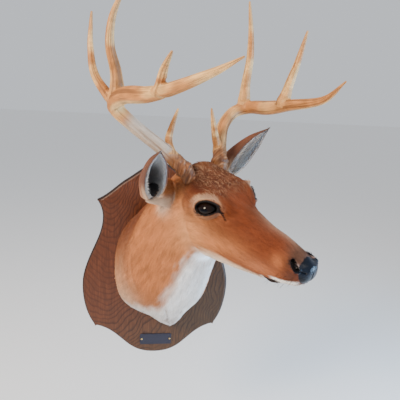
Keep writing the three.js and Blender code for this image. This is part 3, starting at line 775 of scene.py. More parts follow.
# spots in the head's frame, in the order they are laid: colour, strength, place, reach
CHEEK_SPOTS = [
    ((0.56, 0.255, 0.105), 0.95, [-40, 56, 16], [38, 22, 34]),      # cheek
    (TAN, 0.75, [22, 45, 16], [38, 20, 15]),                        # in front of the cheek
    ((0.64, 0.50, 0.38), 0.85, [-120, 60, 50], [17, 16, 11]),       # below the ear
    ((0.080, 0.017, 0.007), 0.95, [-32, 47, 102], [19, 11, 9]),     # over the brow
    ((0.075, 0.028, 0.015), 0.75, [-50, 26, 116], [14, 12, 12]),    # side of the crown
    ((0.115, 0.036, 0.018), 0.6, [-52, 62, 84], [12, 12, 11])]      # behind the eye
MUZZLE_SPOTS = [
    ((0.075, 0.045, 0.036), 0.85, [156, 16, 36], [6, 6, 6]),        # over the nostril
    ((0.36, 0.125, 0.050), 0.80, [127, 27, 27], [11, 10, 8]),       # side of the muzzle
    ((0.44, 0.170, 0.078), 0.65, [92, 28, 0], [32, 12, 10])]        # above the lip
NOSTRIL_SPOTS = [
    ((0.030, 0.014, 0.010), 0.95, [144, 22, 35], [5.5, 9, 8]),      # behind the nostril
    ((0.070, 0.026, 0.018), 0.85, [151, 26, 17], [8, 9, 6])]        # below the nostril


def paint_all(tone, layers):
    """Each (colour, mask) laid over the tone, in order."""
    for colour, mask in layers:
        tone = paint(tone, colour, mask)
    return tone


def spot_layers(h, spots):
    """The layers of a table of spots: each mask is the spot's strength times its bell."""
    return [(colour, strength * spot(h, at, reach)) for colour, strength, at, reach in spots]


def throat_mask(t, phi):
    """White of the throat and brisket: a band about the underside, wider towards the wall."""
    off = np.abs((np.degrees(phi) - 272 + 180) % 360 - 180)
    half = np.interp(t, *np.transpose(THROAT))
    ragged = 12 * (patches(np.degrees(phi) / 6, t * 3, 3) - 0.5)
    return ease(half + ragged - off, -11, 11) * ease(t, 9.4, 11.2)


def body_tone(t, phi, h, plain):
    """Colour of the coat at a station, an angle and a place of the head's frame; slits and
    lips are looked up at the plain place, as it was before they were cut."""
    x, y, z = h[..., 0], np.abs(h[..., 1]), h[..., 2]
    angle = np.degrees(phi) % 360
    top, throat = ease(np.sin(phi), 0.45, 0.95), throat_mask(t, phi)
    broad = patches(np.degrees(phi) / 11, t * 1.7, 5)
    behind = t - np.interp(angle, *np.transpose(RIDGE))
    tone = paint_all(filled(RUSSET, h.shape), [
        (TAN, ease(t, 9.2, 11.6)), *spot_layers(h, CHEEK_SPOTS),
        ((0.20, 0.075, 0.030), 0.75 * top * ease(t, 11, 12) * (0.6 + 0.8 * broad)),
        (CREAM, 0.30 * ease(t, 13.5, 16.5) * broad),
        # painted shade: the neck's side behind the fold, towards the board
        ((0.095, 0.021, 0.008), 0.80 * ease(behind, 0, 0.5) * ease(186 - angle, 0, 46)),
        # forehead, bridge and muzzle
        (UMBER, 0.70 * ease(z - 0.45 * x - 78, -4, 16) * ease(x, -120, -70) * ease(34 - x, 0, 50)
         * ease(52 - y, 0, 22)),
        (UMBER, 0.50 * np.exp(-(y / 15) ** 2) * top * ease(x, 20, 50) * ease(150 - x, 0, 90)),
        # painted highlight: a pale band along the top of the bridge on the deer's left, where the
        # cool light grazes the hair
        ((0.42, 0.30, 0.24), 0.75 * np.exp(-((h[..., 1] - 10) / 11) ** 2) * top
         * ease(x, 40, 85) * ease(158 - x, 0, 25)),
        ((0.085, 0.048, 0.036), 0.85 * ease(np.sin(phi), 0.50, 0.85) * ease(x, 116, 146)),
        *spot_layers(h, MUZZLE_SPOTS),
        ((0.62, 0.42, 0.28), 0.8 * ease(-4 - 0.10 * x - z, 0, 13) * ease(96 - x, 0, 12)
         * ease(x, -50, -10)),
        ((0.56, 0.37, 0.24), 0.75 * ease(t, 14.0, 15.5)
         * np.exp(-((np.degrees(phi) - 205) / 24) ** 2)),
        *spot_layers(h, NOSTRIL_SPOTS)])
    gap, mouth = lip_gap(plain)
    tone = paint_all(tone, [
        # lips, chin and throat
        (WHITE, mouth * ease(gap, -1.5, 0.5) * ease(10.5 - gap, 0, 4) * ease(x, 106, 120)
         * ease(161 - x, 0, 5)),
        ((0.74, 0.66, 0.58), mouth * ease(-gap, 0, 1.5)),
        ((0.66, 0.54, 0.44), 0.9 * ease(-15 - z, 0, 14) * ease(90 - x, 0, 10)
         * ease(t, 4.2, 5) * ease(11.4 - t, 0, 1)),
        ((0.028, 0.016, 0.013), mouth * ease(-gap, -0.8, 0.3) * ease(15 + gap, 0, 4)
         * ease(x, 89, 93) * ease(124 - x, 0, 8)),
        (BLACK, mouth * np.exp(-(gap / 0.8) ** 2)),
        (WHITE, throat), ((0.50, 0.43, 0.38), 0.6 * throat * ease(t, 14.0, 15.6))])
    # seam of the hide under the brisket, and a mottle over everything so far
    seam = np.exp(-((angle - np.interp(t, *np.transpose(SEAM))) / 1.3) ** 2)
    tone = paint(tone, (0.23, 0.16, 0.115), 0.7 * seam * ease(t, 13.8, 14.1)
                 * ease(16.4 - t, 0, 0.8))
    mottle = patches(angle / 4.5, t * 3.3, 41) + 0.6 * patches(angle / 1.9, t * 8, 43) - 0.8
    tone = np.clip(tone * (1 + 0.26 * mottle * (1 - 0.7 * throat))[..., None], 0, 0.95)
    # eyes
    for side in (-1, 1):
        a, b, c = to_eye(h, side)
        rho, rim, turn = lid_polar(a, b)
        gap = (rho - 1) * rim + 40 * (c < -8)
        ring = np.exp(-((gap - 6.2) / 2.8) ** 2)
        upper = ease(np.sin(turn), -0.2, 0.6)
        brow = np.exp(-(((a + 8) / 9) ** 2 + ((b - 18) / 3.2) ** 2))
        tone = paint_all(tone, [((0.52, 0.33, 0.22), ring * (0.25 + 0.5 * upper)),
                                ((0.62, 0.38, 0.22), 0.6 * brow * (c > -8)),
                                (BLACK, ease(3.4 - gap, 0, 1.4))])
    tear, share = line_distance(plain, TEAR)
    wing, _ = line_distance(plain, WING)
    nose = nose_mask(plain)
    return paint_all(tone, [
        ((0.012, 0.006, 0.005), ease(5.6 - 2.6 * share - tear, 0, 1.4)),
        # nose, with a painted highlight along the edge of the nostril's wing
        # painted reflection: the pad's faint blue stands in for the cool light's glint; painted
        # shade: its bottom and back are darker and without the blue
        ((0.30, 0.215, 0.185), 0.8 * np.exp(-(wing / 1.7) ** 2)), ((0.005, 0.008, 0.015), nose),
        ((0.004, 0.003, 0.004), nose * np.maximum(ease(20 - z, 0, 10), ease(157 - x, 0, 5)))])


def nose_mask(h):
    """Bare black skin: in front of the nostrils, down to the lip, and inside the openings."""
    x, y, z = h[..., 0], np.abs(h[..., 1]), h[..., 2]
    ragged = 1.6 * (patches(h[..., 1] / 1.7, z / 1.7, 29) - 0.5)
    back = 155.2 + 0.13 * (y - 3).clip(0) + 0.12 * (27 - z).clip(0) + ragged
    pad = ease(x - back, -1.0, 1.0) * ease(z - 2.5, 0, 2.5)
    hole, _ = line_distance(h, NOSTRIL)
    slit, _ = line_distance(h, SLIT)
    return np.maximum.reduce([pad, ease(5.6 - hole, 0, 1.6), ease(3.4 - slit, 0, 1.4)])


# colour of the hollow and strength of its dark streak: the deer's right, then its left; the two
# differ by painted light and shade: the right hollow greyer with a strong streak, the left paler
# and warmer
EAR_INSIDE = {-1: ((0.44, 0.45, 0.46), 0.92), 1: ((0.80, 0.74, 0.68), 0.45)}


def ear_tone(s, share, around, side):
    """Russet back with a dark edge near the tip; white rims and grey hair inside, and down the
    middle of the hollow dark skin deepened by painted shade.
    """
    off = np.abs(share)
    tone = paint_all(filled([0.15, 0.046, 0.020], s.shape + (3,)), [
        ((0.34, 0.150, 0.070), ease(0.45 - s, 0, 0.45)),
        ((0.055, 0.034, 0.026), ease(s, 0.72, 0.98) * 0.85),
        ((0.13, 0.060, 0.040), 0.8 * ease(off, 0.45, 0.95) * ease(s, 0.15, 0.5)),
        (CREAM, 0.7 * ease(off, 0.80, 0.96) * ease(0.45 - s, 0, 0.3))])
    pale, streak = EAR_INSIDE[side]
    deep = paint_all(filled(pale, s.shape + (3,)), [
        # the hollow's dark skin, deepened by painted shade, more on the deer's right
        ((0.070, 0.062, 0.064), streak * np.exp(-(share / 0.5) ** 2) * ease(0.66 - s, 0, 0.4)),
        ((0.64, 0.67, 0.70), ease(off, 0.5, 0.8) * ease(s, 0.15, 0.5)),
        ((0.66, 0.55, 0.45), 0.8 * ease(0.16 - s, 0, 0.14) * ease(off, 0.35, 0.7)),
        ((0.17, 0.12, 0.10), 0.75 * ease(off, 0.86, 0.98) * ease(s, 0.2, 0.5)),
        ((0.050, 0.032, 0.026), 0.9 * ease(s, 0.84, 0.97))])
    inside = ease(around, 1.2, 2.0)[..., None]
    return tone * (1 - inside) + deep * inside


def butt_tone(p, side):
    """Tan like the cheek, cream below, and dark where the butt shows on the floor of the cup."""
    middle, along, _, _ = ear_axis(side, np.array(-0.05))
    rise = (p - middle) @ along
    tone = filled(TAN, p.shape)
    tone = paint(tone, (0.62, 0.48, 0.36), 0.85 * ease(middle[2] + 2 - p[..., 2], 0, 14))
    off_axis = np.linalg.norm(p - middle - rise[..., None] * along, axis=-1)
    return paint(tone, (0.045, 0.040, 0.042), ease(rise, -2, 2) * ease(19 - off_axis, 0, 3))


grid_head = to_head(skin_grid)
skin_tone = body_tone(grid_t, grid_phi, grid_head, grid_plain)
print("mean colour of the coat", skin_tone.mean((0, 1)).round(3))

# %% [markdown]
# ## One skin
#
# The sweep, the two ear shells and their butts are closed surfaces that pass into each other. A
# union makes them one skin, and relaxing the points near each join turns the sharp crease into
# the fillet that hide makes there. The colour and the lie of the hair ride through the union.

# %% Skin materials
def hair_finish(name, roughness):
    """Short flat hair: colour from the markings, fine streaks along the lie in colour and bump."""
    finish = Finish(name, Roughness=roughness, Specular_IOR_Level=0.15, Sheen_Weight=0.05,
                    Sheen_Roughness=0.4)
    lie = finish.add("UVMap", {"uv_map": "lie"})
    fine = finish.noise(finish.stretch(lie, (1100, 130, 1)), 1.0, 3.0, 0.6)
    broad = finish.noise(finish.stretch(lie, (240, 40, 1)), 1.0, 2.0)
    tone = finish.layer("tone")
    light = finish.blend(1.0, tone, finish.grey(fine * 0.6 + broad * 0.5, 0.62, 1.3), "MULTIPLY")
    bare = finish.layer("bare")
    pebble = finish.add("TexVoronoi", {}, {"Vector": finish.coords(), "Scale": 620.0})
    grain = (fine * 0.7 + broad * 0.6) * (1 - bare) + pebble * bare * 0.55
    wet = finish.noise(finish.coords(), 190.0)
    return finish.feed(Base_Color=light, Roughness=roughness - bare * (0.46 - wet * 0.16),
                       Normal=finish.bump(grain, 0.0006, 0.7))


skin_finish = hair_finish("short_hair", 0.62)

# %% Join body and ears
def body_layers():
    """Colour, bareness and part number of the body's points, and the lie of its face corners."""
    count = len(ROWS_T), len(ROWS_PHI)
    tone = skin_tone.reshape(-1, 3)
    bare = nose_mask(grid_plain).ravel()
    ends = np.stack([skin_tone[0].mean(0), skin_tone[-1].mean(0)])
    tone = np.concatenate([tone, ends])
    layers = {"tone": rgba(tone), "bare": np.concatenate([bare, [1, 0]]),
              "part": np.zeros(len(tone))}
    arc = run_length(skin_grid.mean(1))
    r, k = grid(np.arange(count[0] - 1), np.arange(count[1]))
    wide = np.append(ROWS_PHI, ROWS_PHI[0] + 2 * np.pi) * 60
    u = np.stack([wide[k], wide[k + 1], wide[k + 1], wide[k]], -1)
    v = np.stack([arc[r], arc[r], arc[r + 1], arc[r + 1]], -1)
    quads = np.stack([u, v], -1).reshape(-1, 2)
    fans = np.tile([[0.0, 0.0]], (count[1] * 6, 1))
    layers["lie"] = np.concatenate([quads, fans]) * MM
    return layers, arc


body_data, ARC = body_layers()
poles = np.stack([skin_grid[0].mean(0) + from_head([0.7, 0, 0]) - HEAD_AT, skin_grid[-1].mean(0)])
body_points = np.concatenate([skin_grid.reshape(-1, 3), poles])
body_faces = tube_faces(len(ROWS_T), len(ROWS_PHI))
skin = piece("skin", body_points, body_faces, skin_finish, body_data, link=False)
if outward(body_points, body_faces)[0] is not body_faces[0]:
    skin.data.flip_normals()
    print("body faces turned")

def ear_part(name, points, faces, tone, part, lie):
    """A closed part of an ear, ready to be joined; lie is given for each face corner."""
    data = {"tone": rgba(tone), "bare": np.zeros(len(tone)), "part": np.full(len(tone), part),
            "lie": lie * MM}
    return piece(name, from_head(points), faces, skin_finish, data, link=False)


EAR_ROWS = crowd(-0.1, 1.0, 64, [(1.0, 0.08, 1.5)])
joined = []
for side in (-1, 1):
    p, s, share, around = ear_shell(side, EAR_ROWS)
    flat, n = p.reshape(-1, 3), p.shape[1]
    faces = outward(flat, ear_faces(*p.shape[:2]))
    tone = ear_tone(s, share, around, side).reshape(-1, 3)
    lie = np.stack([np.broadcast_to(np.arange(n) * 2.2, s.shape), s * 115], -1).reshape(-1, 2)
    joined.append(ear_part(f"shell{side}", flat, faces, tone, 1.0, lie[corners_of(faces)]))
    p = ear_butt(side)
    faces = outward(p, tube_faces(BUTT_ROWS, BUTT_AROUND))
    lie = p[corners_of(faces)][:, [0, 2]]
    joined.append(ear_part(f"butt{side}", p, faces, butt_tone(p, side), 2.0, lie))


def combine(made, others, operation):
    """Union or difference of closed meshes by the Manifold solver; the others are deleted."""
    for other in others:
        step = made.modifiers.new("combine", "BOOLEAN")
        step.operation, step.solver, step.object = operation, "MANIFOLD", other
    bpy.context.view_layer.update()
    shown = made.evaluated_get(bpy.context.evaluated_depsgraph_get())
    result = bpy.data.meshes.new_from_object(shown)
    made.modifiers.clear()
    made.data = result
    for other in others:
        bpy.data.objects.remove(other)


def mend(mesh):
    """Give the points that a union made, which come out white, the mean of their neighbours."""
    tone = read(mesh.attributes["tone"].data, "color", 4)
    ends = read(mesh.edges, "vertices", 2, np.int32)
    lost = tone[:, :3].min(1) > 0.99
    for _ in range(6):
        known = ~lost
        total, count = np.zeros((len(tone), 4)), np.zeros(len(tone))
        for a, b in ((0, 1), (1, 0)):
            use = known[ends[:, b]]
            np.add.at(total, ends[use, a], tone[ends[use, b]])
            np.add.at(count, ends[use, a], 1)
        ready = lost & (count > 0)
        tone[ready] = total[ready] / count[ready, None]
        lost &= ~ready
    mesh.attributes["tone"].data.foreach_set("color", tone.astype(np.float32).ravel())


def read(mesh_data, key, width, kind=np.float32):
    """Values of every item of a mesh, with width numbers for each."""
    values = np.empty(len(mesh_data) * width, kind)
    mesh_data.foreach_get(key, values)
    return values.reshape(-1, width) if width > 1 else values


def relax_joins(mesh, reach, rounds):
    """Move points near a join towards the mean of their neighbours, less with distance."""
    p = read(mesh.vertices, "co", 3).astype(float) / MM
    part = read(mesh.attributes["part"].data, "value", 1)
    ends = read(mesh.edges, "vertices", 2, np.int32)
    length = np.linalg.norm(p[ends[:, 0]] - p[ends[:, 1]], axis=1)
    away = np.full(len(p), 1e6)
    crossing = ends[np.abs(part[ends[:, 0]] - part[ends[:, 1]]) > 0.01]
    away[crossing.ravel()] = 0
    for _ in range(60):
        np.minimum.at(away, ends[:, 0], away[ends[:, 1]] + length)
        np.minimum.at(away, ends[:, 1], away[ends[:, 0]] + length)
    weight = 0.5 * ease(reach - away, 0, reach)[:, None]
    degree = np.bincount(ends.ravel(), minlength=len(p))[:, None]
    for _ in range(rounds):
        total = np.stack([np.bincount(ends[:, 0], p[ends[:, 1], i], len(p))
                          + np.bincount(ends[:, 1], p[ends[:, 0], i], len(p))
                          for i in range(3)], -1)
        p += weight * (total / degree - p)
    mesh.vertices.foreach_set("co", (p * MM).astype(np.float32).ravel())
    mesh.update()
    print("join points relaxed:", int((away < reach).sum()))


def join_up(made, others, reach, rounds):
    """Several closed meshes as one smooth one: united, its colours mended, its joins relaxed."""
    combine(made, others, "UNION")
    mend(made.data)
    relax_joins(made.data, reach, rounds)
    made.data.polygons.foreach_set("use_smooth", np.ones(len(made.data.polygons), bool))


join_up(skin, joined, 13, 70)
settle(skin, ("head", "neck", "chest", "lower_jaw", "nose_pad", "ear_left", "ear_right"))

# %% [markdown]
# ## The coat
#
# Hair could be made with Blender's hair curves, but those are lost when the model is exported.
# Here each tuft is a thin closed spike of a few faces, and thousands of them are worked out at
# once as arrays: a root on the skin, a direction along the lie of the hair, a length, a lift and
# a colour. Short hair is mostly bump, so the face gets small flat tufts, and the neck long ones.

# %% Tuft geometry
def tuft_mesh(root, normal, lie, length, width, lift, curl, sway, tone, place, stations):
    """Spikes with three sides. At share f of the length L, the centre stands L f along the lie,
    L (lift f - curl f squared) off the skin and L sway f squared aside. The width falls as
    (1 - 0.85 f) to the power 0.6, and the tip is a point."""
    count = len(root)
    side = unit(np.cross(normal, lie))
    f = np.linspace(0, 1, stations + 1)[:-1] ** 0.9
    along = (length[:, None] * f)[..., None]
    rise = (length[:, None] * (lift[:, None] * f - curl[:, None] * f ** 2))[..., None]
    drift = (length[:, None] * sway[:, None] * f ** 2)[..., None]
    sunk = np.minimum(0.6, 0.07 * length)[:, None]
    centre = root[:, None] + lie[:, None] * along \
        + normal[:, None] * (rise - sunk[..., None]) + side[:, None] * drift
    half = (0.5 * width[:, None] * (1 - 0.85 * f) ** 0.6)[..., None]
    corners = np.stack([centre - side[:, None] * half, centre + side[:, None] * half,
                        centre + normal[:, None] * half * 0.8], 2)
    tip = root + lie * length[:, None] + side * (length * sway)[:, None] \
        + normal * (length * (lift - curl))[:, None] - normal * sunk
    points = np.concatenate([corners.reshape(count, -1, 3), tip[:, None]], 1)
    each = stations * 3 + 1
    quads, triangles = [], [[0, 1, 2]]
    quad_place, triangle_place = [], [[[0, 0], [1, 0], [0.5, 0]]]
    for j in range(stations - 1):
        for k in range(3):
            a, b = j * 3 + k, j * 3 + (k + 1) % 3
            quads.append([a, a + 3, b + 3, b])
            quad_place.append([[k / 3, f[j]], [k / 3, f[j + 1]],
                               [(k + 1) / 3, f[j + 1]], [(k + 1) / 3, f[j]]])
    for k in range(3):
        a, b = (stations - 1) * 3 + k, (stations - 1) * 3 + (k + 1) % 3
        triangles.append([a, each - 1, b])
        triangle_place.append([[k / 3, f[-1]], [(k + 0.5) / 3, 1], [(k + 1) / 3, f[-1]]])
    base = (np.arange(count) * each)[:, None, None]
    faces = [(base + np.array(quads)).reshape(-1, 4), (base + np.array(triangles)).reshape(-1, 3)]
    patch = [(place[:, None, None] + 0.003 * np.array(local)).reshape(-1, 2)
             for local in (quad_place, triangle_place)]
    # painted shade: each tuft is darker towards its root, where the tufts shade each other, and a
    # little lighter at its tip
    shade = np.concatenate([np.repeat(0.90 + 0.12 * f, 3), [1.05]])
    colour = tone[:, None] * shade[:, None]
    colour = np.concatenate([colour, np.ones(colour.shape[:2] + (1,))], -1)
    return points.reshape(-1, 3), faces, np.concatenate(patch), colour.reshape(-1, 4)


def coat_finish():
    """Hair: the tuft's own colour with a soft sheen, no pattern of its own but fine streaks."""
    finish = Finish("coat_hair", Roughness=0.6, Specular_IOR_Level=0.16, Sheen_Weight=0.04,
                    Sheen_Roughness=0.35)
    fine = finish.noise(finish.coords(), 900.0, 2.0)
    tone = finish.blend(1.0, finish.layer("tone"), finish.grey(fine, 0.82, 1.18), "MULTIPLY")
    return finish.feed(Base_Color=tone)


hair = coat_finish()
planted = {}
COAT_END = -18.5                # y of the last hair: the board's face is at -18


def add_coat(name, tufts):
    """One piece of coat from a dictionary of tuft arrays."""
    points, faces, place, colour = tuft_mesh(**tufts)
    points[:, 1] = np.minimum(points[:, 1], COAT_END)
    planted[name] = len(tufts["root"])
    return piece(name, points, faces, hair, {"tone": colour, "OFBake": place}, smooth=False)


# %% Sow roots on a grid
def sow(surface, weight, count, rng):
    """Random places on a grid of points whose rows close on themselves: evenly drawn cells, in
    proportion to area and weight. Gives a function that reads any field of the grid there."""
    def grown(field):
        """The field with its first column once more at the end."""
        return np.concatenate([field, field[:, :1]], 1)
    full = grown(surface)
    corner = full[:-1, :-1]
    area = np.linalg.norm(np.cross(full[1:, :-1] - corner, full[:-1, 1:] - corner), axis=-1)
    mean = grown(weight)
    mean = (mean[:-1, :-1] + mean[1:, 1:]) / 2
    total = np.cumsum((area * mean).ravel())
    cell = np.searchsorted(total, (np.arange(count) + rng.random(count)) / count * total[-1])
    r, k = np.unravel_index(np.minimum(cell, total.size - 1), area.shape)
    fr, fc = rng.random(count), rng.random(count)

    def at(field):
        """The field at the places, between the four corners of each cell."""
        field = grown(field)
        a, b = (fr[:, None], fc[:, None]) if field.ndim == 3 else (fr, fc)
        return ((1 - a) * (1 - b) * field[r, k] + a * (1 - b) * field[r + 1, k]
                + (1 - a) * b * field[r, k + 1] + a * b * field[r + 1, k + 1])

    return at


def grid_normals(surface):
    """Normals of a grid, as the cross product of its two directions, and the way down its rows."""
    down = np.gradient(surface, axis=0)
    across = np.roll(surface, -1, 1) - np.roll(surface, 1, 1)
    return unit(np.cross(down, across)), unit(down)


def tangent(vectors, normal):
    """Vectors laid flat on the surface, at length 1."""
    return unit(vectors - normal * (vectors * normal).sum(-1, keepdims=True))


# %% Coat of the body
rng = np.random.default_rng(7)
skin_normal, skin_down = grid_normals(skin_grid)
from_middle = skin_grid - skin_grid.mean(1, keepdims=True)
skin_normal = skin_normal * np.sign((skin_normal * from_middle).sum(-1).mean())


def bare_places(h, plain):
    """1 where no hair grows: nose, tear slit, lips' edge, and the eye with its dark rim."""
    bare = nose_mask(plain)
    gap, mouth = lip_gap(plain)
    bare = np.maximum(bare, mouth * np.exp(-(gap / 1.2) ** 2))
    tear, _ = line_distance(plain, TEAR)
    bare = np.maximum(bare, ease(4.4 - tear, 0, 1))
    for side in (-1, 1):
        a, b, c = to_eye(h, side)
        rho, rim, _ = lid_polar(a, b)
        bare = np.maximum(bare, (c > -8) * ease(3.8 - (rho - 1) * rim, 0, 1))
    return bare


HAIR_LENGTH = [[0, 4], [3, 5], [6, 7], [8.5, 8], [10.5, 10], [12, 16], [13.5, 21], [15, 23],
               [16, 20], [17, 13]]                      # station, length in mm
DENSITY = [[0, 1.9], [3, 1.7], [6, 1.25], [10, 1.1], [12, 0.85], [17, 0.72]]


def coat_of_body(count):
    """Roots, directions, lengths and colours of the tufts on the swept part of the skin."""
    growth = np.interp(grid_t, *np.transpose(DENSITY)) * (1 - bare_places(grid_head, grid_plain))
    growth = growth * ease(grid_t, 0.6, 1.2) * (skin_grid[..., 1] < -20.5)
    growth = growth * (1 - spot(grid_head, [152, 19, 38], [8, 7, 7]))
    at = sow(skin_grid, growth, count, rng)
    root, normal, down = at(skin_grid), unit(at(skin_normal)), at(skin_down)
    t, wide_phi = at(grid_t), at(np.unwrap(grid_phi, axis=1))
    phi = np.where(np.abs(at(np.cos(grid_phi)) - np.cos(wide_phi)) > 0.2,
                   np.arctan2(at(np.sin(grid_phi)), at(np.cos(grid_phi))), wide_phi)
    h = to_head(root)
    tone = body_tone(t, phi, h, at(grid_plain))
    # lie: back along the body, down the neck, and parted round the eyes
    lie = down.copy()
    lie[:, 2] -= 0.42 * ease(t, 11, 13.5) * (1 - 0.6 * ease(t, 15.5, 17))
    for side in (-1, 1):
        _, rise, _ = eye_axes(side)
        a, b, c = to_eye(h, side)
        a, b = a - LID_CENTRE[0], b - LID_CENTRE[1]
        near = np.exp(-((a / 30) ** 2 + (b / 22) ** 2)) * (c > -10)
        away = (np.sign(b) * ease(np.abs(b), 0, 6))[:, None] * (rise @ HEAD_TURN.T)
        lie += 0.9 * near[:, None] * away
    crown = ease(t, 7.2, 8.6) * ease(11.6 - t, 0, 0.8) * ease(np.sin(phi), 0.62, 0.9)
    swirl = patches(h[:, 0] / 9, h[:, 1] / 9, 11) - 0.5
    clump = patches(np.degrees(phi) / 3.2, arc_at(t) / 26, 13) - 0.5
    lie = tangent(lie, normal)
    side = np.cross(normal, lie)
    lie = tangent(lie + side * (rng.normal(0, 0.09, count) + 1.9 * swirl * crown
                                + 0.45 * clump * ease(t, 11.5, 13))[:, None], normal)
    length = np.interp(t, *np.transpose(HAIR_LENGTH)) * rng.uniform(0.75, 1.2, count)
    chin = ease(-14 - h[:, 2], 0, 12) * ease(11 - t, 0, 1)
    length = length * (1 + 0.7 * crown + 0.5 * chin)
    room = -19.4 - root[:, 1]
    length = np.minimum(length, np.maximum(5.0, room / np.maximum(lie[:, 1], 0.05) + 2.0))
    lie[:, 1] = np.minimum(lie[:, 1], room / length)
    lie = unit(lie)
    white = throat_mask(t, phi)
    lift = np.interp(t, [0, 9, 11.5], [0.24, 0.22, 0.17]) + 0.28 * crown + 0.06 * white \
        + rng.normal(0, 0.035, count) + 0.10 * (rng.random(count) > 0.985)
    curl = lift * (np.interp(t, [0, 9, 11.5], [0.5, 0.55, 0.75]) + 0.9 * crown)
    sway = rng.normal(0, 0.07, count) + crown * 2.2 * (patches(h[:, 0] / 7, h[:, 1] / 7, 17) - 0.5)
    width = np.interp(t, [0, 6, 11, 13, 17], [0.75, 0.9, 1.1, 1.35, 1.5])
    width = width * rng.uniform(0.8, 1.2, count)
    streak = patches(np.degrees(phi) / 1.6, arc_at(t) / 14, 19)
    shade = 1 + 0.20 * (streak - 0.5) + rng.normal(0, 0.07, count) + 0.16 * clump
    grizzle = crown * (rng.random(count) > 0.80)
    tone = paint(tone, (0.30, 0.165, 0.095), 0.7 * grizzle)
    tone = np.clip(tone * shade[:, None], 0.004, 0.95)
    place = np.stack([(np.degrees(phi) + 90) % 360 / 360 * 0.78 + 0.01,
                      arc_at(t) / ARC[-1] * 0.97 + 0.01], -1)
    tufts = dict(root=root, normal=normal, lie=lie, length=length, width=width, lift=lift,
                 curl=curl, sway=sway, tone=tone, place=place)
    return tufts, t, h[:, 1] > 0, crown > 0.35


def arc_at(t):
    """Length along the body's middle line at a station."""
    return np.interp(t, ROWS_T, ARC)


BODY_TUFTS = 100000
AREAS = {"face": (0, 9.3), "cheeks": (9.3, 11.9), "neck": (11.9, 14.3), "chest": (14.3, 17.1)}


def chosen_tufts(chosen, stations):
    """The chosen tufts of the body, each with a number of stations along it."""
    return dict({key: values[chosen] for key, values in body_tufts.items()}, stations=stations)


body_tufts, tuft_t, on_left, on_crown = coat_of_body(BODY_TUFTS)
for area, (start, end) in AREAS.items():
    for name, half in (("right", ~on_left), ("left", on_left)):
        chosen = (tuft_t >= start) & (tuft_t < end) & half & ~on_crown
        add_coat(f"coat_{area}_{name}", chosen_tufts(chosen, 2))
add_coat("coat_crown", chosen_tufts(on_crown, 4))
print("tufts", planted)

# %% [markdown]
# ## Hair of the ears
#
# The back of an ear has very short hair that runs to the tip. Inside, long pale hair grows from
# both rims and the floor and lies across the hollow, so the ear looks soft and half filled.

# %% Ear coat
EAR_FINE = np.linspace(-0.05, 0.995, 90)


def coat_of_ear(side, count):
    """Short hair up the back of an ear, and longer pale hair from its rims over the hollow."""
    p, s, share, around = ear_shell(side, EAR_FINE)
    p_world = from_head(p)
    normal, down = grid_normals(p_world)
    weight = np.where(around > 1.6, 0.75, 1.0) * (1 + 1.2 * ease(np.abs(share), 0.8, 1.0))
    weight = weight * ease(s, -0.05, 0.05)
    at = sow(p_world, weight, count, rng)
    root, n, lie = at(p_world), unit(at(normal)), at(down)
    s_at, share_at, around_at = at(s), at(share), at(around)
    axis, _, _, across = ear_axis(side, s_at)
    outer = to_head(root) - axis
    flip = np.sign((n * (outer @ HEAD_TURN.T)).sum(-1)) * np.where(around_at < 1.57, 1, -1)
    n = n * np.sign(np.median(flip))
    tone = ear_tone(s_at, share_at, around_at, side)
    within = ease(around_at, 1.4, 2.0)
    rim = ease(np.abs(share_at), 0.62, 0.95)
    inward = -np.sign(share_at)[:, None] * (across @ HEAD_TURN.T)
    lie = unit(lie + within[:, None] * rim[:, None] * inward * 0.9)
    lie = tangent(lie + rng.normal(0, 0.10, (count, 3)), n)
    length = 5.5 + within * (4.5 + 8 * rim * ease(1 - s_at, 0, 0.5)) * rng.uniform(0.6, 1.2, count)
    length = length * (1 - 0.35 * ease(s_at, 0.8, 1))
    lift = 0.12 + within * 0.22 + rng.normal(0, 0.04, count)
    streak = patches(share_at * 9, s_at * 5, 23 + side)
    shade = 1 + rng.normal(0, 0.09, count) + 0.25 * (streak - 0.5)
    tone = paint(tone, (0.62, 0.66, 0.70), 0.7 * within * rim * (rng.random(count) > 0.5))
    tone = np.clip(tone * shade[:, None], 0.004, 0.95)
    place = np.stack([0.82 + (share_at + 1) / 2 * 0.08 + within * 0.085,
                      0.02 + 0.45 * s_at.clip(0, 1) + (0.5 if side > 0 else 0)], -1)
    return dict(root=root, normal=n, lie=lie, length=length, width=rng.uniform(0.7, 1.1, count),
                lift=lift, curl=lift * 0.8, sway=rng.normal(0, 0.08, count), tone=tone,
                place=place, stations=2)


def coat_of_butt(side, count):
    """Short hair over the base of the ear, towards the ear's tip."""
    p = ear_butt(side)[:-2].reshape(BUTT_ROWS, BUTT_AROUND, 3)
    p_world = from_head(p)
    normal, down = grid_normals(p_world)
    row = np.arange(BUTT_ROWS)
    weight = np.broadcast_to((ease(row, 3, 5) * ease(18 - row, 0, 2))[:, None], p.shape[:2])
    at = sow(p_world, weight, count, rng)
    root, n = at(p_world), unit(at(normal))
    centre = at(np.broadcast_to(p_world.mean(1, keepdims=True), p.shape))
    n = n * np.sign(np.median(((root - centre) * n).sum(-1)))
    lie = tangent(at(down) + rng.normal(0, 0.12, (count, 3)), n)
    tone = butt_tone(to_head(root), side) * (1 + rng.normal(0, 0.08, count))[:, None]
    r, k = grid(row / BUTT_ROWS, np.arange(BUTT_AROUND) / BUTT_AROUND)
    place = np.stack([0.83 + 0.14 * at(k), (0.53 if side < 0 else 0.03) + 0.4 * at(r)], -1)
    return dict(root=root, normal=n, lie=lie, length=rng.uniform(7, 10, count),
                width=rng.uniform(0.9, 1.3, count), lift=rng.normal(0.22, 0.04, count),
                curl=np.full(count, 0.15), sway=rng.normal(0, 0.08, count),
                tone=np.clip(tone, 0.004, 0.95), place=place)


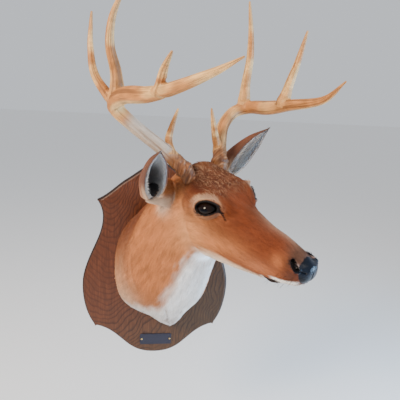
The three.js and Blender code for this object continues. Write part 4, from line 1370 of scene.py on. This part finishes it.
EAR_TUFTS, BUTT_TUFTS = 13000, 2600
for side, name in ((-1, "right"), (1, "left")):
    ear, butt = coat_of_ear(side, EAR_TUFTS), coat_of_butt(side, BUTT_TUFTS)
    both = {key: np.concatenate([ear[key], butt[key]]) for key in butt}
    add_coat(f"coat_ear_{name}", dict(both, stations=ear["stations"]))

# %% [markdown]
# ## Glass eyes and their dark rims
#
# A taxidermy eye is glass, nearly black-brown, with a pupil that is a level bar. Each eye is a
# ball slightly longer along the lids, with a low cornea. Its colour reads a map of its own plane.
# A thin dark tube follows the edge of the lids, as the bare wet rim of a real eye does.

# %% Eyes
GAZE_SPAN = 40.0                # the eye's map covers this many mm
CORNEA = 1.0                    # rise of the cornea in mm


def eye_piece(side, name):
    """A ball of three radii with a low bell for a cornea, and a map of the lids' plane."""
    theta = np.linspace(0.0, np.pi, 42)[1:-1]
    psi = np.linspace(0, 2 * np.pi, 64, endpoint=False)
    th, ps = grid(theta, psi)
    a = EYE_RADII[0] * np.sin(th) * np.cos(ps)
    b = EYE_RADII[1] * np.sin(th) * np.sin(ps)
    c = EYE_RADII[2] * np.cos(th) + CORNEA * np.exp(-(th / 0.55) ** 2)
    local = np.concatenate([np.stack([a, b, c], -1).reshape(-1, 3),
                            [[0, 0, EYE_RADII[2] + CORNEA], [0, 0, -EYE_RADII[2]]]])
    p = from_eye(local, side)
    faces = outward(p, tube_faces(len(theta), len(psi)))
    gaze = local[corners_of(faces)][:, :2] / GAZE_SPAN + 0.5
    piece(name, from_head(p), faces, glass, {"gaze": gaze},
          (name.replace("glass_", ""),))


def eye_finish():
    """Wet glass over a dark iris, with a level oval for a pupil."""
    finish = Finish("eye_glass", Roughness=0.05, Specular_IOR_Level=0.10, Coat_Weight=0.16,
                    Coat_Roughness=0.02)
    x, y, _ = finish.split(finish.add("UVMap", {"uv_map": "gaze"}))
    x, y = (x - 0.5) * GAZE_SPAN, (y - 0.5) * GAZE_SPAN
    bar = x * x / 46.0 + y * y / 11.0
    pupil = 1 - finish.ease(bar, 0.75, 1.15)
    far = (x * x + y * y).root()
    ray = finish.noise(finish.coords(), 700.0, 4.0)
    iris = finish.blend(ray, (0.003, 0.0015, 0.001, 1), (0.012, 0.005, 0.003, 1))
    iris = finish.blend(finish.ease(far, 10.5, 14.5), iris, (0.003, 0.002, 0.002, 1))
    return finish.feed(Base_Color=finish.blend(pupil, iris, (0.001, 0.001, 0.003, 1)))


glass = eye_finish()
eye_piece(-1, "glass_eye_right")
eye_piece(1, "glass_eye_left")


# %% Lid rims
def rim_tube(side, around=10, count=120):
    """Tube of oval section along the edge of the lids."""
    turn = np.linspace(0, 2 * np.pi, count, endpoint=False)
    _, rim, _ = lid_polar(LID_CENTRE[0] + np.cos(turn), LID_CENTRE[1] + np.sin(turn))
    ring = []
    for angle in np.linspace(0, 2 * np.pi, around, endpoint=False):
        r = rim + 0.2 + 1.05 * np.cos(angle)
        a, b = LID_CENTRE[0] + r * np.cos(turn), LID_CENTRE[1] + r * np.sin(turn)
        c = lid_height(a, b) - 0.7 + 1.0 * np.sin(angle)
        ring.append(np.stack([a, b, c], -1))
    p = from_eye(np.stack(ring, 1), side).reshape(-1, 3)
    r, k = grid(np.arange(count), np.arange(around))
    row, next_row, beside = r * around, (r + 1) % count * around, (k + 1) % around
    faces = np.stack([row + k, row + beside, next_row + beside, next_row + k], -1)
    return p, outward(p, [faces.reshape(-1, 4)])[0]


def dark_finish():
    """Bare black skin with a fine grain."""
    finish = Finish("dark_skin", Roughness=0.6, Specular_IOR_Level=0.10)
    grain = finish.noise(finish.coords(), 800.0)
    tone = finish.blend(grain, (0.004, 0.003, 0.003, 1), (0.014, 0.009, 0.008, 1))
    return finish.feed(Base_Color=tone, Normal=finish.bump(grain, 0.0003, 0.6))


dark_skin = dark_finish()
rims = [rim_tube(side) for side in (-1, 1)]
rim_points = np.concatenate([p for p, _ in rims])
rim_quads = np.concatenate([rims[0][1], rims[1][1] + len(rims[0][0])])
piece("eye_rims", from_head(rim_points), rim_quads, dark_skin)

# %% Lashes and whiskers
def lashes(side):
    """Dark curved hairs along the upper lid, fanned out from its middle."""
    count = 70
    ahead, rise, out = eye_axes(side)
    turn = np.linspace(0.12 * np.pi, 0.93 * np.pi, count) + rng.normal(0, 0.01, count)
    _, rim, _ = lid_polar(LID_CENTRE[0] + np.cos(turn), LID_CENTRE[1] + np.sin(turn))
    a, b = LID_CENTRE[0] + (rim + 0.6) * np.cos(turn), LID_CENTRE[1] + (rim + 0.6) * np.sin(turn)
    p = from_eye(np.stack([a, b, lid_height(a, b) - 0.3], -1), side)
    fan = unit((np.cos(turn) * 0.55)[:, None] * ahead + 0.35 * rise + 0.9 * out
               + rng.normal(0, 0.10, (count, 3)))
    length = rng.uniform(5.5, 8.5, count) * (1 if side < 0 else 0.4)
    return p, fan, np.full((count, 3), rise), length


def whiskers(side):
    """Long sparse hairs on the lips and the chin."""
    lip_and_chin = [([140, 25, 10], [12, 0, 7], 18), ([118, 20, -16], [16, 0, 5], 10)]
    flat = mirrored(grid_head.reshape(-1, 3)[::7], side)
    rows = []
    for at, reach, count in lip_and_chin:
        near = np.array(at) + rng.uniform(-1, 1, (count, 3)) * reach
        rows.append(mirrored(flat[np.argmin(((near[:, None] - flat) ** 2).sum(-1), 1)], side))
    p = np.concatenate(rows)
    fan = unit(np.array([-0.25, 0.9 * side, -0.35]) + rng.normal(0, 0.22, p.shape))
    return p, fan, np.full(p.shape, [0.0, 0, -1.0]), rng.uniform(7, 15, len(p))


def add_hairs(name, makers, width, lift):
    """One piece of single dark hairs, from the roots, directions and lengths of both sides."""
    root, lie, normal, length = [np.concatenate(rows) for rows in zip(*makers)]
    root, lie, normal = from_head(root), lie @ HEAD_TURN.T, normal @ HEAD_TURN.T
    count = len(root)
    normal = tangent(normal, lie)
    add_coat(name, dict(root=root, normal=normal, lie=lie, length=length,
                        width=np.full(count, width), lift=np.full(count, lift),
                        curl=np.full(count, -0.1), sway=rng.normal(0, 0.06, count),
                        tone=np.full((count, 3), 0.012), place=np.full((count, 2), 0.985),
                        stations=4))


add_hairs("lashes", [lashes(-1), lashes(1)], 0.55, 0.05)
add_hairs("whiskers", [whiskers(-1), whiskers(1)], 0.42, 0.02)

# %% [markdown]
# ## Antlers
#
# Beams and tines are round tubes along smooth curves. Bone is never plain: long ridges run with
# the beam, the burr is a knobbly crown, and pearls cover the lowest part. All of that is a
# height added to the radius, and the same height later darkens the grooves.

# %% Antler paths
# centre lines in the head's frame; a tine's path comes with its thickness at the root
RIGHT_BEAM = [[-66, -32, 96], [-76, -41, 120], [-95, -74, 160], [-115, -113, 200],
              [-125, -138, 232], [-98, -137, 249], [-40, -130, 257], [6, -123, 269],
              [75, -106, 296], [113, -100, 313]]
LEFT_BEAM = [[-66, 32, 96], [-77, 39, 120], [-97, 57, 150], [-114, 82, 176], [-121, 116, 194],
             [-106, 136, 201], [-48, 129, 209], [2, 121, 221], [76, 114, 240], [119, 100, 272]]
TINES = {
    "right": [
        ([[-86, -62, 146], [-100, -56, 168], [-100, -48, 192], [-93, -40, 220]], 8.5),
        ([[-118, -136, 236], [-123, -133, 280], [-124, -139, 318], [-118, -136, 354],
          [-101, -123, 395]], 10.5),
        ([[-122, -132, 226], [-153, -152, 274], [-167, -149, 316], [-177, -140, 348],
          [-179, -136, 365]], 9),
        ([[-18, -127, 260], [-2, -130, 292], [17, -130, 316]], 8.5)],
    "left": [
        ([[-88, 46, 132], [-90, 40, 158], [-92, 35, 190], [-92, 31, 213]], 8.5),
        ([[-117, 134, 196], [-118, 138, 240], [-110, 139, 290], [-106, 135, 334],
          [-102, 124, 384]], 10),
        ([[-12, 122, 218], [-4, 125, 252], [6, 131, 290], [17, 136, 338]], 9.5)]}
BEAM_RADII = [12.5, 12.5, 11.2, 11, 12, 12.4, 10, 8, 5.2, 1.2]
BEAM_GRID, TINE_GRID = (460, 72), (120, 30)         # rings along, points around
BURR_AT, BURR_REACH = 0.0667, 0.012                 # shares of the beam's length


def smooth_path(points, stations):
    """Centripetal Catmull-Rom curve through points, read at even shares of its length: knots
    are spaced by the square root of the distance between points."""
    pts = np.array(points, float)
    pts = np.concatenate([[2 * pts[0] - pts[1]], pts, [2 * pts[-1] - pts[-2]]])
    knots = np.concatenate([[0], np.cumsum(np.sqrt(np.linalg.norm(np.diff(pts, axis=0), axis=1)))])
    out = []
    for i in range(1, len(pts) - 2):
        k0, k1, k2, k3 = knots[i - 1:i + 3]
        u = np.linspace(k1, k2, 60, endpoint=False)[:, None]
        p0, p1, p2, p3 = pts[i - 1:i + 3]
        a1 = (k1 - u) / (k1 - k0) * p0 + (u - k0) / (k1 - k0) * p1
        a2 = (k2 - u) / (k2 - k1) * p1 + (u - k1) / (k2 - k1) * p2
        a3 = (k3 - u) / (k3 - k2) * p2 + (u - k2) / (k3 - k2) * p3
        b1 = (k2 - u) / (k2 - k0) * a1 + (u - k0) / (k2 - k0) * a2
        b2 = (k3 - u) / (k3 - k1) * a2 + (u - k1) / (k3 - k1) * a3
        out.append((k2 - u) / (k2 - k1) * b1 + (u - k1) / (k2 - k1) * b2)
    fine = np.concatenate(out + [pts[-2:-1]])
    length = run_length(fine)
    want = np.asarray(stations) * length[-1]
    return np.stack([np.interp(want, length, fine[:, i]) for i in range(3)], -1), length[-1]


def bone_tube(path, radius, relief, rows, around, tone, part):
    """Closed tube round a frame that never twists: its radius plus the relief at each place.
    A beam's rings are crowded about the burr."""
    is_beam = rows == BEAM_GRID[0]
    stations = crowd(0, 1, rows, [(0.06, 0.10, 2.6)]) if is_beam else np.linspace(0, 1, rows)
    centre, length = smooth_path(path, stations)
    along = unit(np.gradient(centre, axis=0))
    normal = np.empty_like(centre)
    previous = unit(np.cross(along[0], [0.1, 1.0, 0.3]))
    for i, direction in enumerate(along):
        previous = unit(previous - direction * (previous @ direction))
        normal[i] = previous
    other = np.cross(along, normal)
    angle = np.linspace(0, 2 * np.pi, around, endpoint=False)
    s, a = grid(stations, angle)
    height, groove, pearl = relief(s, a, length)
    rho = radius(s) + height
    p = centre[:, None] + (rho * np.cos(a))[..., None] * normal[:, None] \
        + (rho * np.sin(a))[..., None] * other[:, None]
    colour = tone(s, a, p, groove, pearl)
    p = np.concatenate([p.reshape(-1, 3), [centre[0], centre[-1] + along[-1] * 0.8]])
    colour = np.concatenate([colour.reshape(-1, 3), colour[[0, -1], 0]])
    faces = outward(p, tube_faces(rows, around))
    around_mm, along_mm = np.append(a.ravel(), [0, 0]) * 10, np.append(s.ravel(), [0, 1]) * length
    place = np.stack([around_mm, along_mm], -1) * MM
    data = {"tone": rgba(colour), "part": np.full(len(p), float(part)),
            "grain": place[corners_of(faces)]}
    return from_head(p), faces, data


def bone_relief(seed, burr):
    """Ridges along the bone, pearls near the base and a knobbly burr, as heights in mm."""
    def relief(s, a, length):
        """Height of the surface, depth of the grooves, and the pearls, at share s and angle a."""
        run = s * length

        def ring(scale, stretch, k):
            """Patches wrapped round the bone and drawn out along it."""
            x = np.cos(a) * scale
            y = np.sin(a) * scale
            return patches(x + run / stretch, y + 0.7 * run / stretch, seed + k) - 0.5
        ridge = ring(2.6, 95, 0) + 0.6 * ring(5.2, 60, 1) + 0.3 * ring(11, 50, 6)
        low = np.exp(-(run / 80) ** 2) if burr else 0 * run
        pearl = 0.6 * ring(2.2, 6, 2) + ring(3.9, 3.4, 3)
        fade = ease(length - run, 0, 45)
        height = 0.9 * ridge * fade + 1.5 * np.clip(pearl, -0.25, 1) * low * fade
        if burr:
            crown = np.exp(-((s - BURR_AT) / BURR_REACH) ** 2)
            knobs = np.clip(ring(3.3, 5.5, 4) + 0.38, 0, 1) ** 1.2
            height = height + crown * (2.0 + 3.8 * knobs + 1.4 * ring(6.5, 3, 5))
        return height, -ridge, pearl
    return relief


def bone_tone(side, seed, beam):
    """Tan and ivory bone: stained brown at a beam's base and in the grooves, paler in patches
    and on the tines' tips. The low part of the deer's right beam is paler and greyer."""
    def tone(s, a, p, groove, pearl):
        """Colour at share s and angle a, from the grooves and pearls there."""
        colour = filled([0.47, 0.195, 0.062], p.shape)
        broad = patches(s * 9 + seed, np.cos(a) * 1.3, seed + 7)
        colour = paint(colour, (0.76, 0.46, 0.185), ease(broad, 0.35, 0.75) * 0.85)
        mottle = patches(s * 42 + seed, np.cos(a) * 2.4 + s * 6, seed + 9)
        colour = colour * (0.78 + 0.44 * mottle)[..., None]
        if beam:
            colour = paint(colour, (0.175, 0.066, 0.028), 0.94 * ease(0.22 - s, 0, 0.13))
            if side < 0:
                colour = paint(colour, (0.46, 0.38, 0.30),
                               0.85 * ease(s, 0.13, 0.18) * ease(0.375 - s, 0, 0.05))
        else:
            colour = paint(colour, (0.56, 0.33, 0.15), 0.5 * ease(s, 0.6, 1.0))
            colour = paint(colour, (0.58, 0.30, 0.11), 0.7 * ease(0.24 - s, 0, 0.16))
        colour = paint(colour, (0.150, 0.062, 0.024), 0.7 * ease(groove, 0.06, 0.40))
        base = ease(0.19 - s, 0, 0.1) if beam else 0 * s
        colour = paint(colour, (0.50, 0.26, 0.14), 0.55 * ease(pearl, 0.15, 0.5) * base)
        return paint(colour, (0.095, 0.036, 0.018), 0.75 * ease(-pearl, 0.0, 0.35) * base)
    return tone


def bone_finish():
    """Bone with streaks and fine cracks along the grain, in colour, bump and roughness."""
    finish = Finish("antler_bone", Roughness=0.5, Specular_IOR_Level=0.20)
    place = finish.add("UVMap", {"uv_map": "grain"})
    streak = finish.noise(finish.stretch(place, (420, 45, 1)), 1.0, 4.0, 0.65)
    fine = finish.noise(finish.coords(), 420.0, 4.0)
    crack = finish.ease(finish.noise(finish.stretch(place, (700, 28, 1)), 1.0, 2.0), 0.60, 0.70)
    tone = finish.blend(1.0, finish.layer("tone"), finish.grey(streak, 0.50, 1.36), "MULTIPLY")
    tone = finish.blend(crack * 0.55, tone, (0.13, 0.070, 0.035, 1))
    return finish.feed(Base_Color=tone, Roughness=0.36 + streak * 0.25,
                       Normal=finish.bump(streak * 0.7 + fine * 0.35 - crack * 0.4, 0.0008, 0.6))


bone = bone_finish()
ANTLER_NODES = {"right": ("base", "beam", "beam_end", "brow", "g2", "g3", "outer"),
                "left": ("base", "beam", "beam_end", "brow", "g2", "g3")}


def beam_radius(s):
    """Radius of a beam at share s, read from its table."""
    return catmull(BEAM_RADII, s * (len(BEAM_RADII) - 1))[..., 0]


def tine_radius(thick):
    """Radius of a tine: it falls as (1 - s) to the power 0.75, and flares where it joins."""
    return lambda s: thick * (0.16 + 0.84 * (1 - s) ** 0.75) + 5.0 * np.exp(-(s / 0.13) ** 2)


def antler(side, name, beam):
    """A beam and its tines, joined into one piece."""
    tubes = [(beam, beam_radius, bone_relief(31 + side, True), *BEAM_GRID,
              bone_tone(side, 40 + side, True), 0)]
    for i, (path, thick) in enumerate(TINES[name]):
        tubes.append((path, tine_radius(thick), bone_relief(50 + 9 * i + side, False), *TINE_GRID,
                      bone_tone(side, 60 + 7 * i + side, False), i + 1))
    parts = []
    for i, tube in enumerate(tubes):
        points, faces, data = bone_tube(*tube)
        parts.append(piece(f"bone{i}", points, faces, bone, data, link=False))
    parts[0].name = f"antlers_{name}"
    join_up(parts[0], parts[1:], 9, 60)
    settle(parts[0], tuple(f"antler_{name}_{part}" for part in ANTLER_NODES[name]))


antler(-1, "right", RIGHT_BEAM)
antler(1, "left", LEFT_BEAM)

# %% [markdown]
# ## The oak shield
#
# The shield's outline is a chain of cubic curves, mirrored. Each ring of the board is that
# outline moved inwards, so a quarter circle of rings makes the routed edge. A pocket for the
# hanger and four bores for the screws are cut from the back.

# %% Board
HALF_OUTLINE = [                # x and z of each curve's four points
    [[0, -180], [48, -180], [64, -157], [88, -136]],
    [[88, -136], [104, -121], [122, -109], [143, -105.5]],
    [[143, -105.5], [161, -81], [171.5, -45], [171.5, -2]],
    [[171.5, -2], [171.5, 60], [124, 110], [124.7, 164]],
    [[124.7, 164], [125, 180], [130, 193], [137, 203]],
    [[137, 203], [112, 214], [92, 238], [73, 250]],
    [[73, 250], [50, 265], [22, 290], [0, 294]]]
BOARD_DEPTH, ROUT = 18, 7       # mm; the routed edge is a quarter circle


def shield_outline(steps):
    """Each cubic curve is the sum of its four points, weighted by (1 - t) cubed, 3 t (1 - t)
    squared, 3 t squared (1 - t) and t cubed; the other half is the same mirrored."""
    t = np.linspace(0, 1, steps, endpoint=False)[:, None]
    half = np.concatenate([(1 - t) ** 3 * np.array(a) + 3 * t * (1 - t) ** 2 * np.array(b)
                           + 3 * t ** 2 * (1 - t) * np.array(c) + t ** 3 * np.array(d)
                           for a, b, c, d in HALF_OUTLINE])
    left = half[:0:-1] * [-1, 1]
    return np.concatenate([half, [HALF_OUTLINE[-1][-1]], left])


outline = shield_outline(14)
after, before = np.roll(outline, -1, 0), np.roll(outline, 1, 0)
out = unit(np.stack([(after - before)[:, 1], -(after - before)[:, 0]], -1))
ahead_step, back_step = unit(after - outline), unit(outline - before)
bend = back_step[:, 0] * ahead_step[:, 1] - back_step[:, 1] * ahead_step[:, 0]
run = np.concatenate([[0], np.cumsum(np.linalg.norm(after - outline, axis=1))])
apart = np.abs(run[:-1, None] - run[:-1][bend > 0.4])
apart = np.minimum(apart, run[-1] - apart).min(1)


def board_ring(y, inset):
    """The outline moved in, but by no more than fits between the sides of a sharp corner."""
    inset = np.minimum(inset, 0.2 + 0.62 * apart)
    return np.stack([outline[:, 0] - out[:, 0] * inset, np.full(len(outline), y),
                     outline[:, 1] - out[:, 1] * inset], -1)


turns = np.linspace(0, np.pi / 2, 9)
profile = [(0, 0.6), (-0.6, 0)]                 # y and inset of each ring, from the back
profile += [(ROUT * (1 - np.sin(a)) - BOARD_DEPTH, ROUT * (1 - np.cos(a))) for a in turns]
rings = np.stack([board_ring(y, inset) for y, inset in profile])
board_points = rings.reshape(-1, 3)
edge = np.arange(len(outline))
board_faces = tube_faces(len(profile), len(outline), close=False)
board_faces += [np.stack([edge[::-1], edge + (len(profile) - 1) * len(outline)])]
board_faces = outward(board_points, board_faces)


def box_mesh(low, high):
    """Closed box from corner to corner."""
    low, high = np.array(low, float), np.array(high, float)
    corner = np.array([[x, y, z] for x in (0, 1) for y in (0, 1) for z in (0, 1)])
    faces = np.array([[0, 1, 3, 2], [4, 6, 7, 5], [0, 4, 5, 1], [2, 3, 7, 6], [0, 2, 6, 4],
                      [1, 5, 7, 3]])
    points = low + corner * (high - low)
    return points, outward(points, [faces])


def turned(profile, at, sides=32, axis=1.0):
    """Profile of (radius, height) turned about the y direction at a point; the ends are poles."""
    profile = np.array(profile, float)
    angle = np.linspace(0, 2 * np.pi, sides, endpoint=False)
    radius, height = profile[1:-1, 0, None], axis * profile[1:-1, 1, None]
    ring = np.stack([radius * np.cos(angle), height + 0 * angle, radius * np.sin(angle)], -1)
    ends = [[0, axis * profile[0, 1], 0], [0, axis * profile[-1, 1], 0]]
    points = np.concatenate([ring.reshape(-1, 3), ends]) + at
    return points, outward(points, tube_faces(len(profile) - 2, sides))


def oak_finish():
    """Flat-sawn oak: cathedral arches where growth rings meet the face, pores and rays."""
    finish = Finish("oak", Roughness=0.42, Specular_IOR_Level=0.30, Coat_Weight=0.04,
                    Coat_Roughness=0.3)
    coords = finish.coords()
    x, y, z = finish.split(coords)
    sway = finish.noise(finish.stretch(coords, (6, 6, 4)), 1.0, 3.0) - 0.5
    drift = finish.noise(finish.stretch(coords, (14, 14, 9)), 1.0, 2.0) - 0.5
    across = x + sway * 0.10 + 0.112
    depth = 0.150 - z * 0.42 + y + drift * 0.016
    rings = (across * across + depth * depth).root() * 165.0 + drift * 2.6 + sway * 4.0
    wave = rings.fract()
    late = finish.ease(wave, 0.50, 0.88) * (1 - finish.ease(wave, 0.93, 1.0))
    pores = finish.noise(finish.stretch(coords, (1500, 1500, 60)), 1.0, 2.0)
    pore = finish.ease(pores, 0.60, 0.70) * (1 - late * 0.4)
    ray = finish.ease(finish.noise(finish.stretch(coords, (260, 260, 40)), 1.0, 3.0), 0.35, 0.75)
    # painted shade and light: the oak turns redder towards the upper left, where shade falls, and
    # to a darker olive towards the lower right, under the cool light
    warm = finish.ease(x - z * 0.65, -0.14, 0.17)
    light = finish.blend(warm, (0.092, 0.026, 0.010, 1), (0.064, 0.028, 0.0115, 1))
    dark = finish.blend(warm, (0.034, 0.009, 0.004, 1), (0.020, 0.009, 0.005, 1))
    fibre = finish.noise(finish.stretch(coords, (420, 420, 14)), 1.0, 3.0)
    light = finish.blend(1.0, light, finish.grey(fibre, 0.6, 1.4), "MULTIPLY")
    tone = finish.blend(late * (0.35 + finish.ease(sway, -0.12, 0.14) * 0.45), light, dark)
    tone = finish.blend(1.0, tone, finish.grey(ray, 0.85, 1.18), "MULTIPLY")
    tone = finish.blend(pore * 0.6, tone, (0.022, 0.010, 0.006, 1))
    # painted shade: the routed edge is painted near-black all round, as the shade of the round-over
    edge = finish.ease(y, -0.01792, -0.0155) * (1.0 - finish.ease(y, -0.0012, -0.0004))
    tone = finish.blend(edge * 0.95, tone, (0.012, 0.005, 0.004, 1))
    return finish.feed(Base_Color=tone, Roughness=0.34 + pore * 0.25 + edge * 0.45,
                       Normal=finish.bump(late * 0.25 - pore * 0.9, 0.0005, 0.5))


oak = oak_finish()
board = piece("oak_shield", board_points, board_faces, oak, link=False)
SCREWS = [(x * sign, z) for x, z in ((36, 70), (24, -20)) for sign in (-1, 1)]
cuts = [box_mesh([-23, -6, 140], [23, 2, 160])]                    # the hanger's pocket
cuts += [turned([(0, -5), (5.5, -5), (5.5, 2), (0, 2)], [x, 0, z]) for x, z in SCREWS]
cutters = [piece("cutter", points, faces, oak, link=False) for points, faces in cuts]
combine(board, cutters, "DIFFERENCE")
flat = np.abs(read(board.data.polygons, "normal", 3)[:, 1]) > 0.999
board.data.polygons.foreach_set("use_smooth", ~flat)
board.data.set_sharp_from_angle(angle=SHARP)
settle(board, ("shield_board",))
print("board faces", len(board.data.polygons))

# %% [markdown]
# ## Name plate, pins and hardware
#
# The plate is a thin strip with rounded corners and one engraved line near its border. Two brass
# pins hold it. Behind the board are the steel keyhole hanger and the screws.

# %% Plate, pins, screws
def metal_finish(name, colour, rough, scale, metallic=1.0):
    """Metal with brush marks and stains; scale sets the size of the stains."""
    finish = Finish(name, Metallic=metallic)
    brushed = finish.noise(finish.stretch(finish.coords(), (60, 60, 900)), 1.0, 3.0)
    stain = finish.noise(finish.coords(), scale, 3.0)
    wear = finish.grey(brushed * 0.4 + stain * 0.6, 0.72, 1.25)
    tone = finish.blend(1.0, (*colour, 1), wear, "MULTIPLY")
    return finish.feed(Base_Color=tone, Roughness=rough + stain * 0.18,
                       Normal=finish.bump(brushed, 0.0001, 0.3))


def rounded_ring(half_width, half_height, radius, y, inset, per=8):
    """Rectangle with rounded corners, as one ring of points."""
    points = []
    for cx, cz, start in ((1, 1, 0), (-1, 1, 90), (-1, -1, 180), (1, -1, 270)):
        angle = np.radians(np.linspace(start, start + 90, per))
        r = max(radius - inset, 0.2)
        points.append(np.stack([cx * (half_width - radius) + r * np.cos(angle), np.full(per, y),
                                cz * (half_height - radius) + r * np.sin(angle)], -1))
    return np.concatenate(points)


plate_at = np.array([2.5, -18.0, -143.0])
plate_profile = [(0.0, 0.0), (-0.9, 0.0), (-1.15, 0.1), (-1.2, 0.35), (-1.2, 1.7),
                 (-0.95, 1.85), (-0.95, 2.25), (-1.2, 2.4), (-1.2, 3.2)]    # y, inset
rings = np.stack([rounded_ring(38.1, 14.0, 4.0, y, inset) for y, inset in plate_profile])
plate_points = np.concatenate([rings.reshape(-1, 3), [[0, 0, 0], [0, -1.2, 0]]]) + plate_at
plate_finish = metal_finish("plate_metal", (0.034, 0.034, 0.050), 0.36, 60.0, 0.7)
plate_faces = outward(plate_points, tube_faces(len(plate_profile), rings.shape[1]))
plate = piece("plate_strip", plate_points, plate_faces, plate_finish, None,
              ("name_plate",))
plate.data.set_sharp_from_angle(angle=SHARP)

brass = metal_finish("brass", (0.62, 0.42, 0.16), 0.22, 300.0)
dome = [(0, 0.0), (2.2, 0.0), (2.2, 0.25), (2.05, 0.55), (1.7, 0.88), (1.1, 1.16), (0.5, 1.31),
        (0, 1.35)]
for side, name in ((-1, "left"), (1, "right")):
    points, faces = turned(dome, plate_at + [34 * side, -1.2, 0], 28, -1.0)
    piece(f"pin_{name}", points, faces, brass, None, (f"plate_pin_{name}",))

steel = metal_finish("steel", (0.46, 0.47, 0.49), 0.30, 120.0)
head = [(0, -5.0), (4.5, -5.0), (4.5, -2.4), (4.2, -1.8), (3.4, -1.5), (2.0, -1.5), (1.2, -2.6),
        (0, -2.9)]
for i, (x, z) in enumerate(SCREWS):
    points, faces = turned(head, [x, 0, z], 28)
    screw = piece(f"screw_{i + 1}", points, faces, steel, None, (f"board_screw_{i + 1}",))
    screw.data.set_sharp_from_angle(angle=np.radians(40))
hanger = bpy.data.objects["hanger_plate"]
hanger.data.materials.clear()
hanger.data.materials.append(steel)

# %% [markdown]
# ## Stage and light
#
# A pale plain floor well below the mount and a pale even sky. A large warm light stands high on
# the left, and a broad cool one low on the right fills the shadows and glints on the nose.

# %% Stage
FLOOR_REACH, FLOOR_AT = 30000, -620
stage_finish = Finish("stage_floor", Roughness=0.9, Specular_IOR_Level=0.1,
                      Base_Color=(0.92, 0.91, 0.90, 1)).material
floor_points = np.array([[x * FLOOR_REACH, y * FLOOR_REACH, FLOOR_AT]
                         for x, y in ((-1, -1), (1, -1), (1, 1), (-1, 1))], float)
floor = piece("floor", floor_points, np.array([[0, 1, 2, 3]]), stage_finish, link=False)

world = bpy.data.worlds.new("sky")
world.use_nodes = True
sky = world.node_tree.nodes["Background"]
sky.inputs["Color"].default_value = (0.90, 0.94, 1.0, 1)
sky.inputs["Strength"].default_value = 0.75
bpy.context.scene.world = world


def area_light(name, at, aim, size, power, colour):
    """Square light at a point, turned so that its -z looks at the aim."""
    data = bpy.data.lights.new(name, "AREA")
    data.size, data.energy, data.color = size * MM, power, colour
    lamp = bpy.data.objects.new(name, data)
    bpy.context.scene.collection.objects.link(lamp)
    back = unit(np.array(at, float) - aim)
    side = unit(np.cross([0, 0, 1.0], back))
    frame4 = np.eye(4)
    frame4[:3, 0], frame4[:3, 1], frame4[:3, 2] = side, np.cross(back, side), back
    frame4[:3, 3] = np.array(at) * MM
    lamp.matrix_world = Matrix(frame4.tolist())


aim = np.array([60, -200, 200])
area_light("key", [-1500, -1500, 1300], aim, 700, 84, (1.0, 0.82, 0.62))
area_light("fill", [1700, -700, 100], aim, 1000, 74, (0.42, 0.68, 1.0))
area_light("top", [300, -300, 1900], aim, 1200, 12, (1.0, 0.93, 0.85))
